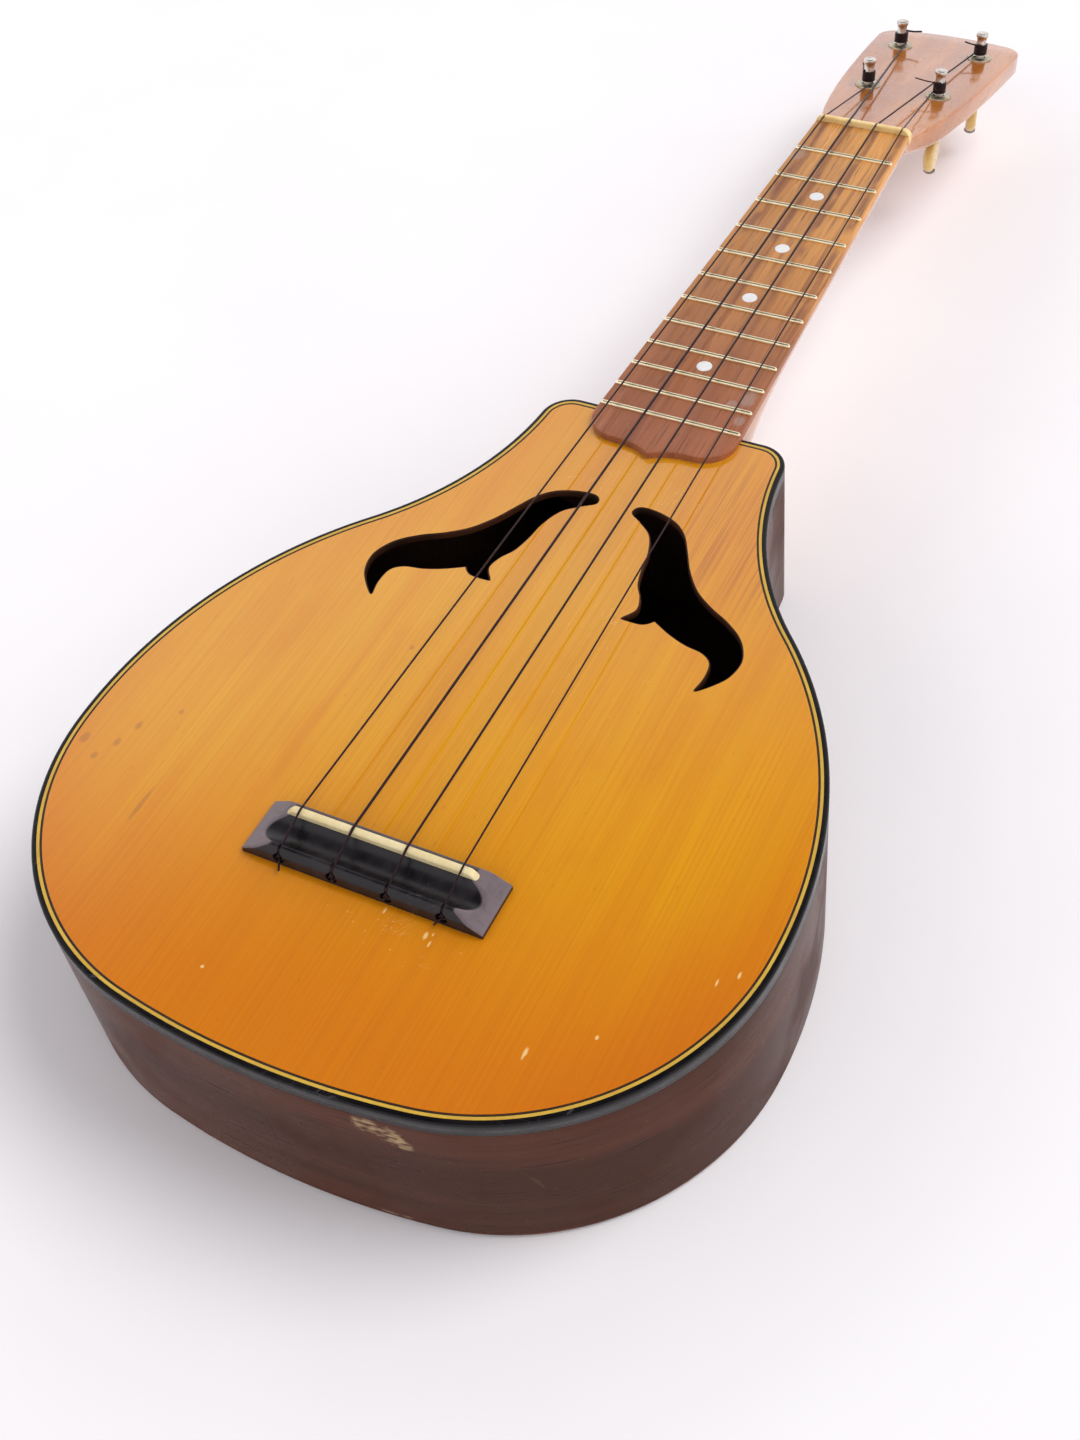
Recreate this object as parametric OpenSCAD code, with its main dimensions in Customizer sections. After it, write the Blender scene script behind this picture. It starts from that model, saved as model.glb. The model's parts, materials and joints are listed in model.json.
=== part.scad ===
// Soprano ukulele with a pear-shaped body, four single strings and friction pegs.
// The origin lies on the flat back, below the end of the scale at the saddle.
// +Y runs along the strings to the head, and +Z points out of the soundboard.

/* [Scale and fretboard] */
// Speaking length, from the front of the nut to the theoretical saddle line
scale_len = 340; // [300:1:410]
// Width of the fretboard at the nut
nut_w = 34.6; // [30:0.2:42]
// Width of the fretboard at the twelfth fret
joint_w = 46; // [40:0.5:54]
// Thickness of the fretboard
board_t = 2.2; // [1.8:0.1:4]
// How far the fretboard runs on over the soundboard
board_over = 13.5; // [8:0.5:24]
// Length of the small point at the fretboard's end
board_tip = 3.4; // [1:0.2:6]
// Corner radius of the fretboard's end
board_corner = 10; // [3:0.5:14]
// Width of a fret's crown
fret_w = 1.4; // [1.2:0.1:2.6]
// Height of a fret's crown
fret_h = 1; // [0.7:0.05:1.3]
// Thickness of a fret's tang
tang_t = 0.5; // [0.4:0.05:0.7]
// Depth of a fret's tang
tang_h = 1.3; // [0.8:0.1:1.6]
// Diameter of a position dot
dot_d = 5; // [3:0.1:7]
// Depth of a position dot
dot_t = 1.2; // [0.8:0.1:1.6]

/* [Body] */
// Length of the body, from tail to shoulder
body_len = 235.6; // [190:0.5:300]
// Widest width of the body
body_w = 199; // [160:0.5:245]
// Depth of the body, from the back's face to the soundboard's face
body_h = 54.5; // [44:0.5:72]
// Thickness of the soundboard
top_t = 2; // [1.8:0.1:3]
// Thickness of the back
back_t = 2; // [1.6:0.1:3]
// Thickness of the sides
side_t = 2.2; // [1.9:0.1:3]
// Radius of the tail's curve, before the outline is scaled to its length and width
tail_r = 230; // [150:1:400]
// Radius of the lower bout's curve
bout_r = 73; // [60:0.5:90]
// Radius of the flank's curve
flank_r = 127; // [110:1:150]
// Radius of the hollow below the shoulder
waist_r = 96; // [80:1:115]
// Radius of the shoulder's corner
shoulder_r = 9.5; // [9:0.1:14]
// Length of the body beyond the twelfth fret
joint_gap = 1.2; // [1:0.1:4]

/* [Edging] */
// Width of the black binding, seen from the front
binding_w = 1.4; // [1:0.1:1.6]
// Height of the black binding, seen from the side
binding_h = 4.5; // [3:0.1:7]
// Width of the cream line
cream_w = 0.8; // [0.5:0.1:1.2]
// Width of the dark line
dark_w = 0.6; // [0.4:0.1:1]
// Depth of both lines
line_h = 1.2; // [0.8:0.1:1.5]

/* [Inside the body] */
// Width of a lining
lining_w = 4.5; // [3:0.1:5]
// Height of a lining
lining_h = 8; // [5:0.5:12]
// Width of a brace
brace_w = 6; // [4:0.5:9]
// Height of a soundboard brace
brace_h = 8; // [5:0.5:11]
// Height of a back brace
back_brace_h = 9; // [5:0.5:12]
// Thickness of the bridge plate
plate_t = 2; // [1.5:0.1:3]
// Length of the neck block
neck_block_l = 24; // [18:0.5:28]
// Width of the neck block
neck_block_w = 44; // [30:1:48]
// Length of the tail block
tail_block_l = 12; // [8:0.5:20]
// Width of the tail block
tail_block_w = 40; // [24:1:60]

/* [Sound holes] */
// Size of a sound hole against its drawn size
hole_size = 1; // [0.8:0.01:1.1]

/* [Neck] */
// Thickness of the neck below the fretboard, next to the nut
neck_t = 11; // [10:0.5:16]
// Thickness of the neck below the fretboard, next to the heel
neck_joint_t = 14; // [12:0.5:19]
// Length of the heel's curve
heel_len = 50; // [35:1:65]
// Distance of the heel's end from the back's face
heel_gap = 5; // [2:0.5:12]
// Width of the tenon in the neck block
tenon_w = 14; // [8:0.5:20]
// Length of the tenon
tenon_l = 14; // [8:0.5:16]

/* [Head] */
// Angle of the head below the fretboard's plane
head_tilt = 10.5; // [6:0.5:14]
// Length of the head, from the nut's front
head_len = 114.5; // [108:0.5:135]
// Width of the head near its end
head_w = 57.4; // [52:0.2:70]
// Thickness of the head
head_t = 8.2; // [7.4:0.1:12]
// Corner radius of the head's end
head_corner = 8; // [3:0.5:12]
// Rise of the curved end
head_bow = 2.4; // [0:0.2:4]

/* [Nut and saddle] */
// Thickness of the nut
nut_t = 3.6; // [3:0.1:6]
// Height of the nut above the neck
nut_h = 4.2; // [4:0.1:6.5]
// Depth of the nut's seat in the neck
nut_seat = 1.5; // [0.5:0.1:2.5]
// Distance between neighbouring strings at the nut
nut_pitch = 9.7; // [8.4:0.1:11]
// Distance between neighbouring strings at the saddle
saddle_pitch = 15.1; // [13.5:0.1:16.5]
// Distance of the saddle behind the end of the scale
saddle_back = 2; // [0:0.1:4]
// Thickness of the saddle
saddle_t = 2.2; // [2:0.1:3]
// Length of the saddle
saddle_l = 55.5; // [52:0.5:58]
// Height of the saddle above the soundboard
saddle_h = 7; // [6:0.1:9]

/* [Bridge] */
// Length of the bridge, across the strings
bridge_l = 67; // [64:0.5:80]
// Width of the bridge, along the strings
bridge_w = 15.4; // [14.6:0.1:20]
// Distance from the saddle's middle to the bridge's front
bridge_lip = 3.3; // [2.8:0.1:5]
// Height of the bridge
bridge_h = 5.2; // [4.8:0.1:5.8]
// Height of a wing's end
wing_h = 1.6; // [1:0.1:3]
// Length of a wing's slope
wing_l = 7.5; // [5:0.1:9]
// Radius of the hollow behind the saddle
scoop_r = 5; // [4.6:0.1:5.4]
// Thickness of wood left below the hollow
scoop_floor = 3; // [2.4:0.1:3.2]

/* [Strings and pegs] */
// Diameters of the strings, from the bass side
string_d = [0.55, 0.75, 0.65, 0.5]; // [0.4:0.05:1]
// Radius of a peg's shaft in its collar
shaft_r = 2.5; // [2.2:0.05:2.8]
// Radius of the barrel that a string winds on
barrel_r = 1.9; // [1.6:0.05:2.1]
// Height of a post above the head's face
post_h = 10; // [9:0.1:13]
// Height of the wound string
wind_h = 4.8; // [3:0.1:5.2]
// Running clearance round a shaft
run_gap = 0.06; // [0.03:0.01:0.1]
// Radius of a collar's flange
flange_r = 4.7; // [4.4:0.1:6]
// Radius of a collar's sleeve
sleeve_r = 3.6; // [3.3:0.05:4]
// Length of a collar's sleeve
sleeve_l = 6; // [4:0.1:7]
// Thickness of a rear washer
washer_t = 1; // [0.6:0.1:2]
// Width of a button
button_w = 15; // [12:0.5:18]
// Height of a button's oval
button_h = 12.8; // [11:0.2:16]
// Thickness of a button
button_t = 4.4; // [4:0.1:7]
// Length of a button's stem above its oval
stem_l = 6.8; // [5.5:0.1:14]
// Distance of the near pegs from the nut's front
near_peg_s = 47.3; // [42:0.1:52]
// Distance of the far pegs from the nut's front
far_peg_s = 94; // [84:0.1:98]
// Distance of a near peg from the middle line
near_peg_x = 13.8; // [12.5:0.1:16]
// Distance of a far peg from the middle line
far_peg_x = 16.1; // [14:0.1:19]

/* [Hidden] */

fit = 0.05;            // glue or press clearance round a seated piece
small = 0.1;           // overlap of two shapes within one piece
joint_y = scale_len / 2 + joint_gap;
tail_y = joint_y - body_len;
top_z = body_h;
under_z = body_h - top_t;

// Body outline: tangent arcs from the tail's middle to the shoulder, as [radius, turn, steps].
arcs = [[tail_r, 9.7, 4], [bout_r, 76.4, 14], [flank_r, 47.1, 10], [-waist_r, -39.6, 9], [shoulder_r, 86.4, 9]];
function turn_x(r, h, a) = r * (sin(h + a) - sin(h));
function turn_y(r, h, a) = r * (cos(h) - cos(h + a));
function chain(i, x, y, h) = i == len(arcs) ? [[x, y, h]] :
  let (r = arcs[i][0], a = arcs[i][1], n = arcs[i][2])
  concat([for (k = [0:n - 1]) [x + turn_x(r, h, a * k / n), y + turn_y(r, h, a * k / n), h + a * k / n]],
    chain(i + 1, x + turn_x(r, h, a), y + turn_y(r, h, a), h + a));
drawn = chain(0, 0, 0, 0);
stretch_x = body_w / 2 / max([for (p = drawn) p.x]);
stretch_y = body_len / drawn[len(drawn) - 1].y;
function out_of(h) = let (t = [stretch_x * cos(h), stretch_y * sin(h)]) [t.y, -t.x] / norm(t);
// Right half of the outline, moved outward by d.
function half(d) = [for (p = drawn) [stretch_x * p.x, tail_y + stretch_y * p.y] + d * out_of(p.z)];
function flip(pts) = [for (i = [len(pts) - 1:-1:0]) [-pts[i].x, pts[i].y]];
function outline(d) = let (h = half(d)) concat(h, [for (i = [0:len(h) - 2]) flip(h)[i]]);
// Half width of the body at y, measured to the outline moved by d.
function half_w(y, d) = lookup(y, [for (p = half(d)) [p.y, p.x]]);

// Smooth curve through all of the points p, n steps between neighbours.
function pick(p, i) = p[max(0, min(len(p) - 1, i))];
function between(a, b, c, d, t) = 0.5 * (2 * b + (c - a) * t + (2 * a - 5 * b + 4 * c - d) * t * t
  + (3 * b - a - 3 * c + d) * t * t * t);
function smooth(p, n) = [for (i = [0:len(p) - 2]) for (k = [0:n - 1])
  between(pick(p, i - 1), p[i], p[i + 1], pick(p, i + 2), k / n)];

// Sound hole on the treble side, as [distance from the middle, distance below the shoulder].
// Its three corners are the barb's tip, the tail's tip and the notch behind the barb.
hole_crown = [[20.3, 79.8], [23, 75.6], [22, 70.9], [19.4, 66.4], [17.9, 60.5], [16.9, 54], [14.2, 47.4],
  [9.6, 43.4], [5.9, 40.7], [7.2, 38.1], [12.5, 38.2], [18.6, 40.3], [23, 44.2], [26.4, 50], [30, 56.6],
  [35, 63.1], [41, 67.6], [47.4, 71.2], [53, 75.9], [56, 82.2], [55.2, 88.4], [52.4, 92.8], [48.8, 96.6]];
hole_tail = [[48.8, 96.6], [49.7, 91.6], [49, 86.2], [45.6, 83.4], [40.2, 82.3], [34.6, 80.2], [29, 77.2]];
hole_barb = [[29, 77.2], [26.2, 79.6], [20.3, 79.8]];
hole_mid = [34, 67];
hole_pts = [for (p = concat(smooth(hole_crown, 2), smooth(hole_tail, 2), smooth(hole_barb, 2)))
  let (q = hole_mid + hole_size * (p - hole_mid)) [q.x, joint_y - q.y]];

// Fretboard
function fret_y(n) = scale_len * pow(2, -n / 12);
function board_w(y) = nut_w + (joint_w - nut_w) * (scale_len - y) / (scale_len / 2);
end_y = scale_len / 2 - board_over;
end_w = board_w(end_y + board_corner) / 2;
board_half = concat([[0, end_y - board_tip], [1.2, end_y - board_tip * 0.78], [2.4, end_y - board_tip * 0.58]],
  [for (a = [-84:14:0]) [end_w - board_corner + board_corner * cos(a), end_y + board_corner + board_corner * sin(a)]],
  [[nut_w / 2, scale_len]]);
dot_frets = [3, 5, 7, 10];

// Head, in its own frame: x across, s along the face from the nut's front, n out of the face.
module on_head() {
  translate([0, scale_len, top_z]) rotate([-head_tilt, 0, 0]) children();
}
function from_head(p) = [p.x, scale_len + p.y * cos(head_tilt) + p.z * sin(head_tilt),
  top_z - p.y * sin(head_tilt) + p.z * cos(head_tilt)];
function bez(a, b, c, d, t) = a * pow(1 - t, 3) + 3 * b * t * pow(1 - t, 2) + 3 * c * t * t * (1 - t) + d * t * t * t;
flare_end = head_len - head_bow - head_corner;
flare = [for (t = [0:0.05:1]) bez([nut_w / 2, 2], [nut_w / 2 + 6.4, 26], [head_w / 2 - 1.6, 52],
  [head_w / 2, flare_end], t)];
function head_half(s) = lookup(s, [for (p = flare) [p.y, p.x]]);
end_x = head_w / 2 - head_corner;
head_start = 23.5;
head_side = concat([[head_half(head_start), head_start]], [for (p = flare) if (p.y > head_start + 1) p],
  [for (a = [15:15:90]) [end_x + head_corner * cos(a), flare_end + head_corner * sin(a)]],
  [for (k = [0.75, 0.5, 0.25]) [end_x * k, head_len - head_bow * k * k]]);

// Neck sections: s is the distance past the nut's front, negative along the neck.
function ease(t) = let (c = max(0, min(1, t))) c * c * (3 - 2 * c);
function neck_depth(y) = neck_joint_t + (neck_t - neck_joint_t) * (y - joint_y) / (scale_len - joint_y);
function section_t(s) = s < -16 ?
  neck_depth(scale_len + s) + (top_z - heel_gap - neck_joint_t)
    * pow(max(0, 1 - (scale_len + s - joint_y) / heel_len), 2.8) :
  neck_depth(scale_len - 16) + (head_t - neck_depth(scale_len - 16)) * ease((s + 16) / 40);
function section(s) = let (w = s < 0 ? board_w(scale_len + s) / 2 : head_half(s), t = section_t(s),
    k = ease((s + 10) / 34), a = head_tilt * ease((s + 16) / 32),
    top = s < 0 ? [0, scale_len + s, top_z] : from_head([0, s, 0]))
  [for (j = [0:16]) let (c = cos(j * 11.25), d = sin(j * 11.25),
      x = w * ((1 - k) * c + k * max(-1, min(1, 1.9 * c))), n = t * ((1 - k) * d + k * min(1, 1.9 * d)))
    top + [x, -n * sin(a), -n * cos(a)]];
heel_steps = [0, 2, 5, 9, 14, 20, 28, 38];
neck_rings = concat([for (u = heel_steps) section(joint_y + u * heel_len / 50 - scale_len)],
  [section(joint_y + heel_len - scale_len)], [for (s = [-16, -8, -3, 2, 7, 12, 17, 21, 24]) section(s)]);
module loft(rings) {
  m = len(rings[0]);
  n = len(rings);
  polyhedron(points = [for (r = rings) for (p = r) p],
    faces = concat([[for (j = [0:m - 1]) j]],
      [for (i = [0:n - 2]) for (j = [0:m - 1]) [i * m + j, (i + 1) * m + j, (i + 1) * m + (j + 1) % m]],
      [for (i = [0:n - 2]) for (j = [0:m - 1]) [i * m + j, (i + 1) * m + (j + 1) % m, i * m + (j + 1) % m]],
      [[for (j = [m - 1:-1:0]) (n - 1) * m + j]]));
}

// Pegs, from the bass side: outer strings go to the near pegs, inner strings to the far pegs.
peg_x = [-near_peg_x, -far_peg_x, far_peg_x, near_peg_x];
peg_s = [near_peg_s, far_peg_s, far_peg_s, near_peg_s];
button_turn = [35, -20, -75, -84];
tail_turn = [200, 90, -90, -90];
tail_l = [6, 7.5, 6, 9.2];
flange_t = 1;
wind_n = flange_t + 0.3;
hole_n = wind_n + wind_h + 0.9;
button_n = -head_t - washer_t - 0.1;
oval_n = button_n - stem_l - button_h / 2;
foot_n = oval_n - button_h / 2 + 0.4;
stub_n = button_n - stem_l - 2;
tap_l = 8;

// Strings
string_k = [-1.5, -0.5, 0.5, 1.5];
saddle_y = -saddle_back;
bridge_front = saddle_y + bridge_lip;
bridge_rear = bridge_front - bridge_w;
ridge_z = top_z + bridge_h - 1;
channel_y = bridge_rear + 1.4;
// The hollow behind the saddle: half its width at the bridge's top, its middle, and the ridge behind it.
scoop_half = sqrt(scoop_r * scoop_r - pow(scoop_r + scoop_floor - bridge_h, 2));
scoop_y = saddle_y - saddle_t / 2 - 0.2 - scoop_half;
ridge_l = scoop_y - scoop_half - bridge_rear;
knot_r = 1.15;
knot_z = top_z + 2.3;
slot_z = top_z + board_t + fret_h + 0.4;
function coil_r(i) = barrel_r + string_d[i] / 2 + 0.02;
function at_nut(i) = [string_k[i] * nut_pitch, scale_len, slot_z + string_d[i] / 2 + 0.04];
function on_saddle(i) = [string_k[i] * saddle_pitch, saddle_y, top_z + saddle_h + string_d[i] / 2 + 0.05];
// Where a string meets its winding: the tangent point on the post's inner side, then a short way back.
function tangent(i) = let (a = [at_nut(i).x, 0], c = [peg_x[i], peg_s[i]], v = c - a, l = norm(v),
    side = peg_x[i] > 0 ? 1 : -1, turn = side * asin(coil_r(i) / l), run = sqrt(l * l - coil_r(i) * coil_r(i)) - 2.6)
  a + run / l * [v.x * cos(turn) - v.y * sin(turn), v.x * sin(turn) + v.y * cos(turn)];
function at_peg(i) = let (t = tangent(i)) from_head([t.x, t.y, wind_n + string_d[i] / 2]);

module rod(p, q, r) {
  v = q - p;
  translate(p) rotate([0, acos(v.z / norm(v)), atan2(v.y, v.x)]) cylinder(r = r, h = norm(v), $fn = 24);
}
// Round ring of radius r about p, square to the direction t, with its first point towards +X.
function hoop(p, t, r) = let (d = t / norm(t), u = [1, 0, 0] - d.x * d, a = u / norm(u), b = cross(d, a))
  [for (k = [0:11]) p + r * (cos(k * 30) * a + sin(k * 30) * b)];
function turn_at(p, i) = let (a = p[i] - p[max(0, i - 1)], b = p[min(len(p) - 1, i + 1)] - p[i])
  (i > 0 ? a / norm(a) : [0, 0, 0]) + (i < len(p) - 1 ? b / norm(b) : [0, 0, 0]);
module slab(d, z0, z1) {
  translate([0, 0, z0]) linear_extrude(z1 - z0) polygon(outline(d));
}
module ring(outer, inner, z0, z1) {
  translate([0, 0, z0]) linear_extrude(z1 - z0) difference() {
    polygon(outline(outer));
    polygon(outline(inner));
  }
}
module only(side) {
  intersection() {
    children();
    translate([side > 0 ? 0 : -body_w, tail_y - 1, -1]) cube([body_w, body_len + 2, body_h + 2]);
  }
}
module across(w) { rotate([90, 0, 90]) linear_extrude(w, center = true) children(); }
module along(l) { rotate([90, 0, 0]) linear_extrude(l, center = true) children(); }

// Body
module soundboard() {
  color("#d79a3a") difference() {
    union() {
      slab(-binding_w, under_z, top_z - line_h);
      slab(-binding_w - cream_w - dark_w, top_z - line_h - small, top_z);
    }
    for (s = [-1, 1]) translate([0, 0, under_z - 1]) linear_extrude(top_t + 2)
      polygon([for (p = hole_pts) [s * p.x, p.y]]);
  }
}
module back() { color("#5a2b1c") slab(0, 0, back_t); }
module tenon(gap) {
  translate([-tenon_w / 2 - gap, joint_y - tenon_l - gap, 9 - gap])
    cube([tenon_w + 2 * gap, tenon_l + gap + small, top_z - 18 + 2 * gap]);
}
module side(s) {
  color("#5a2b1c") difference() {
    only(s) union() {
      ring(0, -side_t, back_t, top_z - binding_h);
      ring(-binding_w, -side_t, top_z - binding_h - small, under_z);
    }
    tenon(fit);
  }
}
module neck_block_space(extra) {
  translate([-neck_block_w / 2 - extra, joint_y - side_t - neck_block_l - extra, back_t])
    cube([neck_block_w + 2 * extra, neck_block_l + 2 * extra + 1, under_z - back_t]);
}
module tail_block_space(extra) {
  translate([-tail_block_w / 2 - extra, tail_y - 1, back_t])
    cube([tail_block_w + 2 * extra, side_t + tail_block_l + 1 + extra, under_z - back_t]);
}
module neck_block() {
  color("#b98a55") difference() {
    intersection() {
      neck_block_space(0);
      slab(-side_t, back_t, under_z);
    }
    tenon(fit);
  }
}
module tail_block() {
  color("#b98a55") intersection() {
    tail_block_space(0);
    slab(-side_t, back_t, under_z);
  }
}
module lining(s, z0) {
  color("#c79a63") difference() {
    only(s) ring(-side_t, -side_t - lining_w, z0, z0 + lining_h);
    neck_block_space(fit);
    tail_block_space(fit);
  }
}
// A bar across the body at y whose ends taper away before the linings.
module brace(y, h, down) {
  w = min(half_w(y - brace_w, -side_t - lining_w), half_w(y + brace_w, -side_t - lining_w)) - 1;
  color("#c9a26a") translate([0, y, down ? under_z : back_t]) scale([1, 1, down ? -1 : 1]) along(brace_w)
    polygon([[-w, 0], [w, 0], [w, 2], [w - 18, h], [18 - w, h], [-w, 2]]);
}
module bridge_plate() {
  color("#b98a55") difference() {
    translate([-bridge_l / 2 - 5, bridge_rear - 5, under_z - plate_t]) cube([bridge_l + 10, bridge_w + 10, plate_t]);
    tail_block_space(fit);
  }
}
module binding() { color("#17130f") ring(0, -binding_w, top_z - binding_h, top_z); }
module purfling_cream() {
  color("#e2cf6a") ring(-binding_w, -binding_w - cream_w, top_z - line_h, top_z);
}
module purfling_dark() {
  color("#3a2c22") ring(-binding_w - cream_w, -binding_w - cream_w - dark_w, top_z - line_h, top_z);
}

// Neck and head
module neck() {
  color("#8a4a2a") difference() {
    union() {
      loft(neck_rings);
      on_head() translate([0, 0, -head_t]) linear_extrude(head_t) polygon(concat(head_side, flip(head_side)));
      tenon(0);
    }
    translate([-nut_w, scale_len, top_z - nut_seat]) cube([2 * nut_w, nut_t, 20]);
    for (i = [0:3]) on_head() translate([peg_x[i], peg_s[i], 0]) {
      translate([0, 0, -sleeve_l - fit]) cylinder(r = sleeve_r + fit, h = sleeve_l + 1, $fn = 48);
      translate([0, 0, -head_t - 1]) cylinder(r = shaft_r + 0.5, h = head_t, $fn = 48);
    }
  }
}
module fretboard() {
  color("#7a3f26") difference() {
    translate([0, 0, top_z]) linear_extrude(board_t) polygon(concat(board_half, flip(board_half)));
    for (n = [1:12]) translate([-joint_w, fret_y(n) - tang_t / 2 - fit, top_z + board_t - tang_h - fit])
      cube([2 * joint_w, tang_t + 2 * fit, tang_h + 1]);
    for (n = dot_frets) translate([0, (fret_y(n) + fret_y(n - 1)) / 2, top_z + board_t - dot_t])
      cylinder(r = dot_d / 2 + fit, h = dot_t + 1, $fn = 48);
  }
}
module position_dots() {
  color("#f4f2ea") for (n = dot_frets)
    translate([0, (fret_y(n) + fret_y(n - 1)) / 2, top_z + board_t - dot_t])
      cylinder(r = dot_d / 2, h = dot_t, $fn = 48);
}
module fret(n) {
  r = (fret_w * fret_w / 4 + fret_h * fret_h) / (2 * fret_h);
  color("#c9b98c") translate([0, fret_y(n), top_z + board_t]) across(board_w(fret_y(n)) - 0.4) union() {
    intersection() {
      translate([0, fret_h - r]) circle(r = r, $fn = 48);
      translate([-fret_w, 0]) square([2 * fret_w, fret_h + 1]);
    }
    translate([-tang_t / 2, -tang_h]) square([tang_t, tang_h + small]);
  }
}
module nut() {
  color("#e8d48a") difference() {
    intersection() {
      translate([0, scale_len, top_z - nut_seat]) across(nut_w + 2)
        polygon([[0, 0], [nut_t, 0], [nut_t, nut_seat + nut_h - 2.6], [nut_t - 1.2, nut_seat + nut_h - 0.9],
          [1.6, nut_seat + nut_h], [0.4, nut_seat + nut_h], [0, nut_seat + nut_h - 0.4]]);
      translate([0, scale_len + nut_t / 2, top_z - nut_seat]) along(nut_t + 2) union() {
        for (s = [-1, 1]) translate([s * (nut_w / 2 - 2.4), nut_seat + nut_h - 2.5]) circle(r = 2.5, $fn = 48);
        translate([2.4 - nut_w / 2, 0]) square([nut_w - 4.8, nut_seat + nut_h]);
        translate([-nut_w / 2 - 0.1, 0]) square([nut_w + 0.2, nut_seat + nut_h - 2.5]);
      }
    }
    for (i = [0:3]) let (v = at_peg(i) - at_nut(i), w = string_d[i] + 0.12)
      translate(at_nut(i)) rotate([0, 0, atan2(v.y, v.x) - 90]) rotate([atan2(v.z, norm([v.x, v.y])), 0, 0])
        translate([-w / 2, -1, -string_d[i] / 2 - 0.04]) cube([w, nut_t + 4, 5]);
  }
}

// Bridge
module saddle_blank(w, l, z0) {
  intersection() {
    translate([0, saddle_y, top_z]) across(l) union() {
      translate([-w / 2, z0]) square([w, saddle_h - saddle_t / 2 - z0]);
      translate([0, saddle_h - saddle_t / 2]) circle(r = w / 2, $fn = 48);
    }
    translate([0, saddle_y, top_z]) along(saddle_t + 4)
      polygon([[-l / 2, 0], [l / 2, 0], [l / 2, saddle_h - 2], [l / 2 - 2, saddle_h + 0.1],
        [2 - l / 2, saddle_h + 0.1], [-l / 2, saddle_h - 2]]);
  }
}
module saddle() { color("#e9dca4") saddle_blank(saddle_t, saddle_l, 2.2); }
module bridge() {
  mid = (bridge_front + bridge_rear) / 2;
  color("#1d1a1c") difference() {
    intersection() {
      translate([0, 0, top_z]) across(bridge_l)
        polygon([[bridge_rear, 0], [bridge_front, 0], [bridge_front, bridge_h - 1], [bridge_front - 0.8, bridge_h],
          [bridge_rear + 1.5, bridge_h], [bridge_rear, bridge_h - 2]]);
      translate([0, mid, top_z]) along(bridge_w + 2)
        polygon([[-bridge_l / 2, 0], [bridge_l / 2, 0], [bridge_l / 2, wing_h], [bridge_l / 2 - wing_l, bridge_h + 0.2],
          [wing_l - bridge_l / 2, bridge_h + 0.2], [-bridge_l / 2, wing_h]]);
    }
    translate([0, scoop_y, top_z + scoop_r + scoop_floor]) rotate([0, 90, 0])
      cylinder(r = scoop_r, h = bridge_l + 2, center = true, $fn = 96);
    translate([-saddle_l / 2 - fit, saddle_y - saddle_t / 2 - fit, top_z + 2.2])
      cube([saddle_l + 2 * fit, saddle_t + 2 * fit, 8]);
    for (i = [0:3]) let (x = string_k[i] * saddle_pitch, w = string_d[i] + 0.16) {
      translate([x - w / 2, bridge_rear - 1, ridge_z]) cube([w, ridge_l + 2.7, 4]);
      translate([x - w / 2, bridge_rear - 1, knot_z]) cube([w, channel_y - bridge_rear + 1, 6]);
      translate([x, bridge_rear - 1, knot_z]) rotate([-90, 0, 0]) cylinder(r = knot_r + 0.45, h = 3.6, $fn = 32);
    }
  }
}
// From the short cut end through the knot, up over the ridge, the saddle and the nut to the post.
module string(i) {
  r = string_d[i] / 2;
  x = string_k[i] * saddle_pitch;
  bend = [x, channel_y - r - 0.08, ridge_z + r + 0.05];
  knot = [x, bend.y, knot_z];
  path = [knot + [i < 2 ? 1.4 : -1.4, -3.4, -0.9], knot, knot + [0, 0, 1.3], bend,
    [x, bridge_rear + ridge_l + 0.2, bend.z], on_saddle(i), at_nut(i), at_peg(i)];
  color("#241a1c") loft([for (k = [0:len(path) - 1]) hoop(path[k], turn_at(path, k), k == 1 ? knot_r : r)]);
}

// Pegs, each drawn about its own axis with the head's face at n = 0
module at_axis(i) { on_head() translate([peg_x[i], peg_s[i], 0]) children(); }
module peg_collars() {
  color("#b9a878") for (i = [0:3]) at_axis(i) rotate_extrude($fn = 48)
    polygon([[shaft_r + run_gap, -sleeve_l], [sleeve_r, -sleeve_l], [sleeve_r, 0], [flange_r, 0], [flange_r, 0.4],
      [flange_r - 0.8, 0.8], [flange_r - 1.8, flange_t], [shaft_r + run_gap, flange_t]]);
}
module peg_washers() {
  color("#b9a878") for (i = [0:3]) at_axis(i) translate([0, 0, -head_t - washer_t]) difference() {
    cylinder(r = flange_r - 0.6, h = washer_t, $fn = 48);
    translate([0, 0, -1]) cylinder(r = shaft_r + run_gap, h = washer_t + 2, $fn = 48);
  }
}
module peg_post(i) {
  cap_r = barrel_r + 0.4;
  color("#b8b4ab") at_axis(i) difference() {
    rotate_extrude($fn = 48)
      polygon([[0, post_h], [cap_r - 0.3, post_h], [cap_r, post_h - 0.3], [cap_r, post_h - 1.4],
        [barrel_r, post_h - 1.8], [barrel_r, flange_t + 0.1], [shaft_r, flange_t], [shaft_r, button_n + 0.05],
        [barrel_r, button_n + 0.05], [barrel_r, stub_n], [1.25, stub_n], [1.25, stub_n + tap_l],
        [0, stub_n + tap_l]]);
    rotate([0, 0, tail_turn[i]]) translate([0, 0, hole_n]) rotate([90, 0, 0])
      cylinder(r = string_d[i] / 2 + 0.15, h = 10, center = true, $fn = 24);
  }
}
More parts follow.
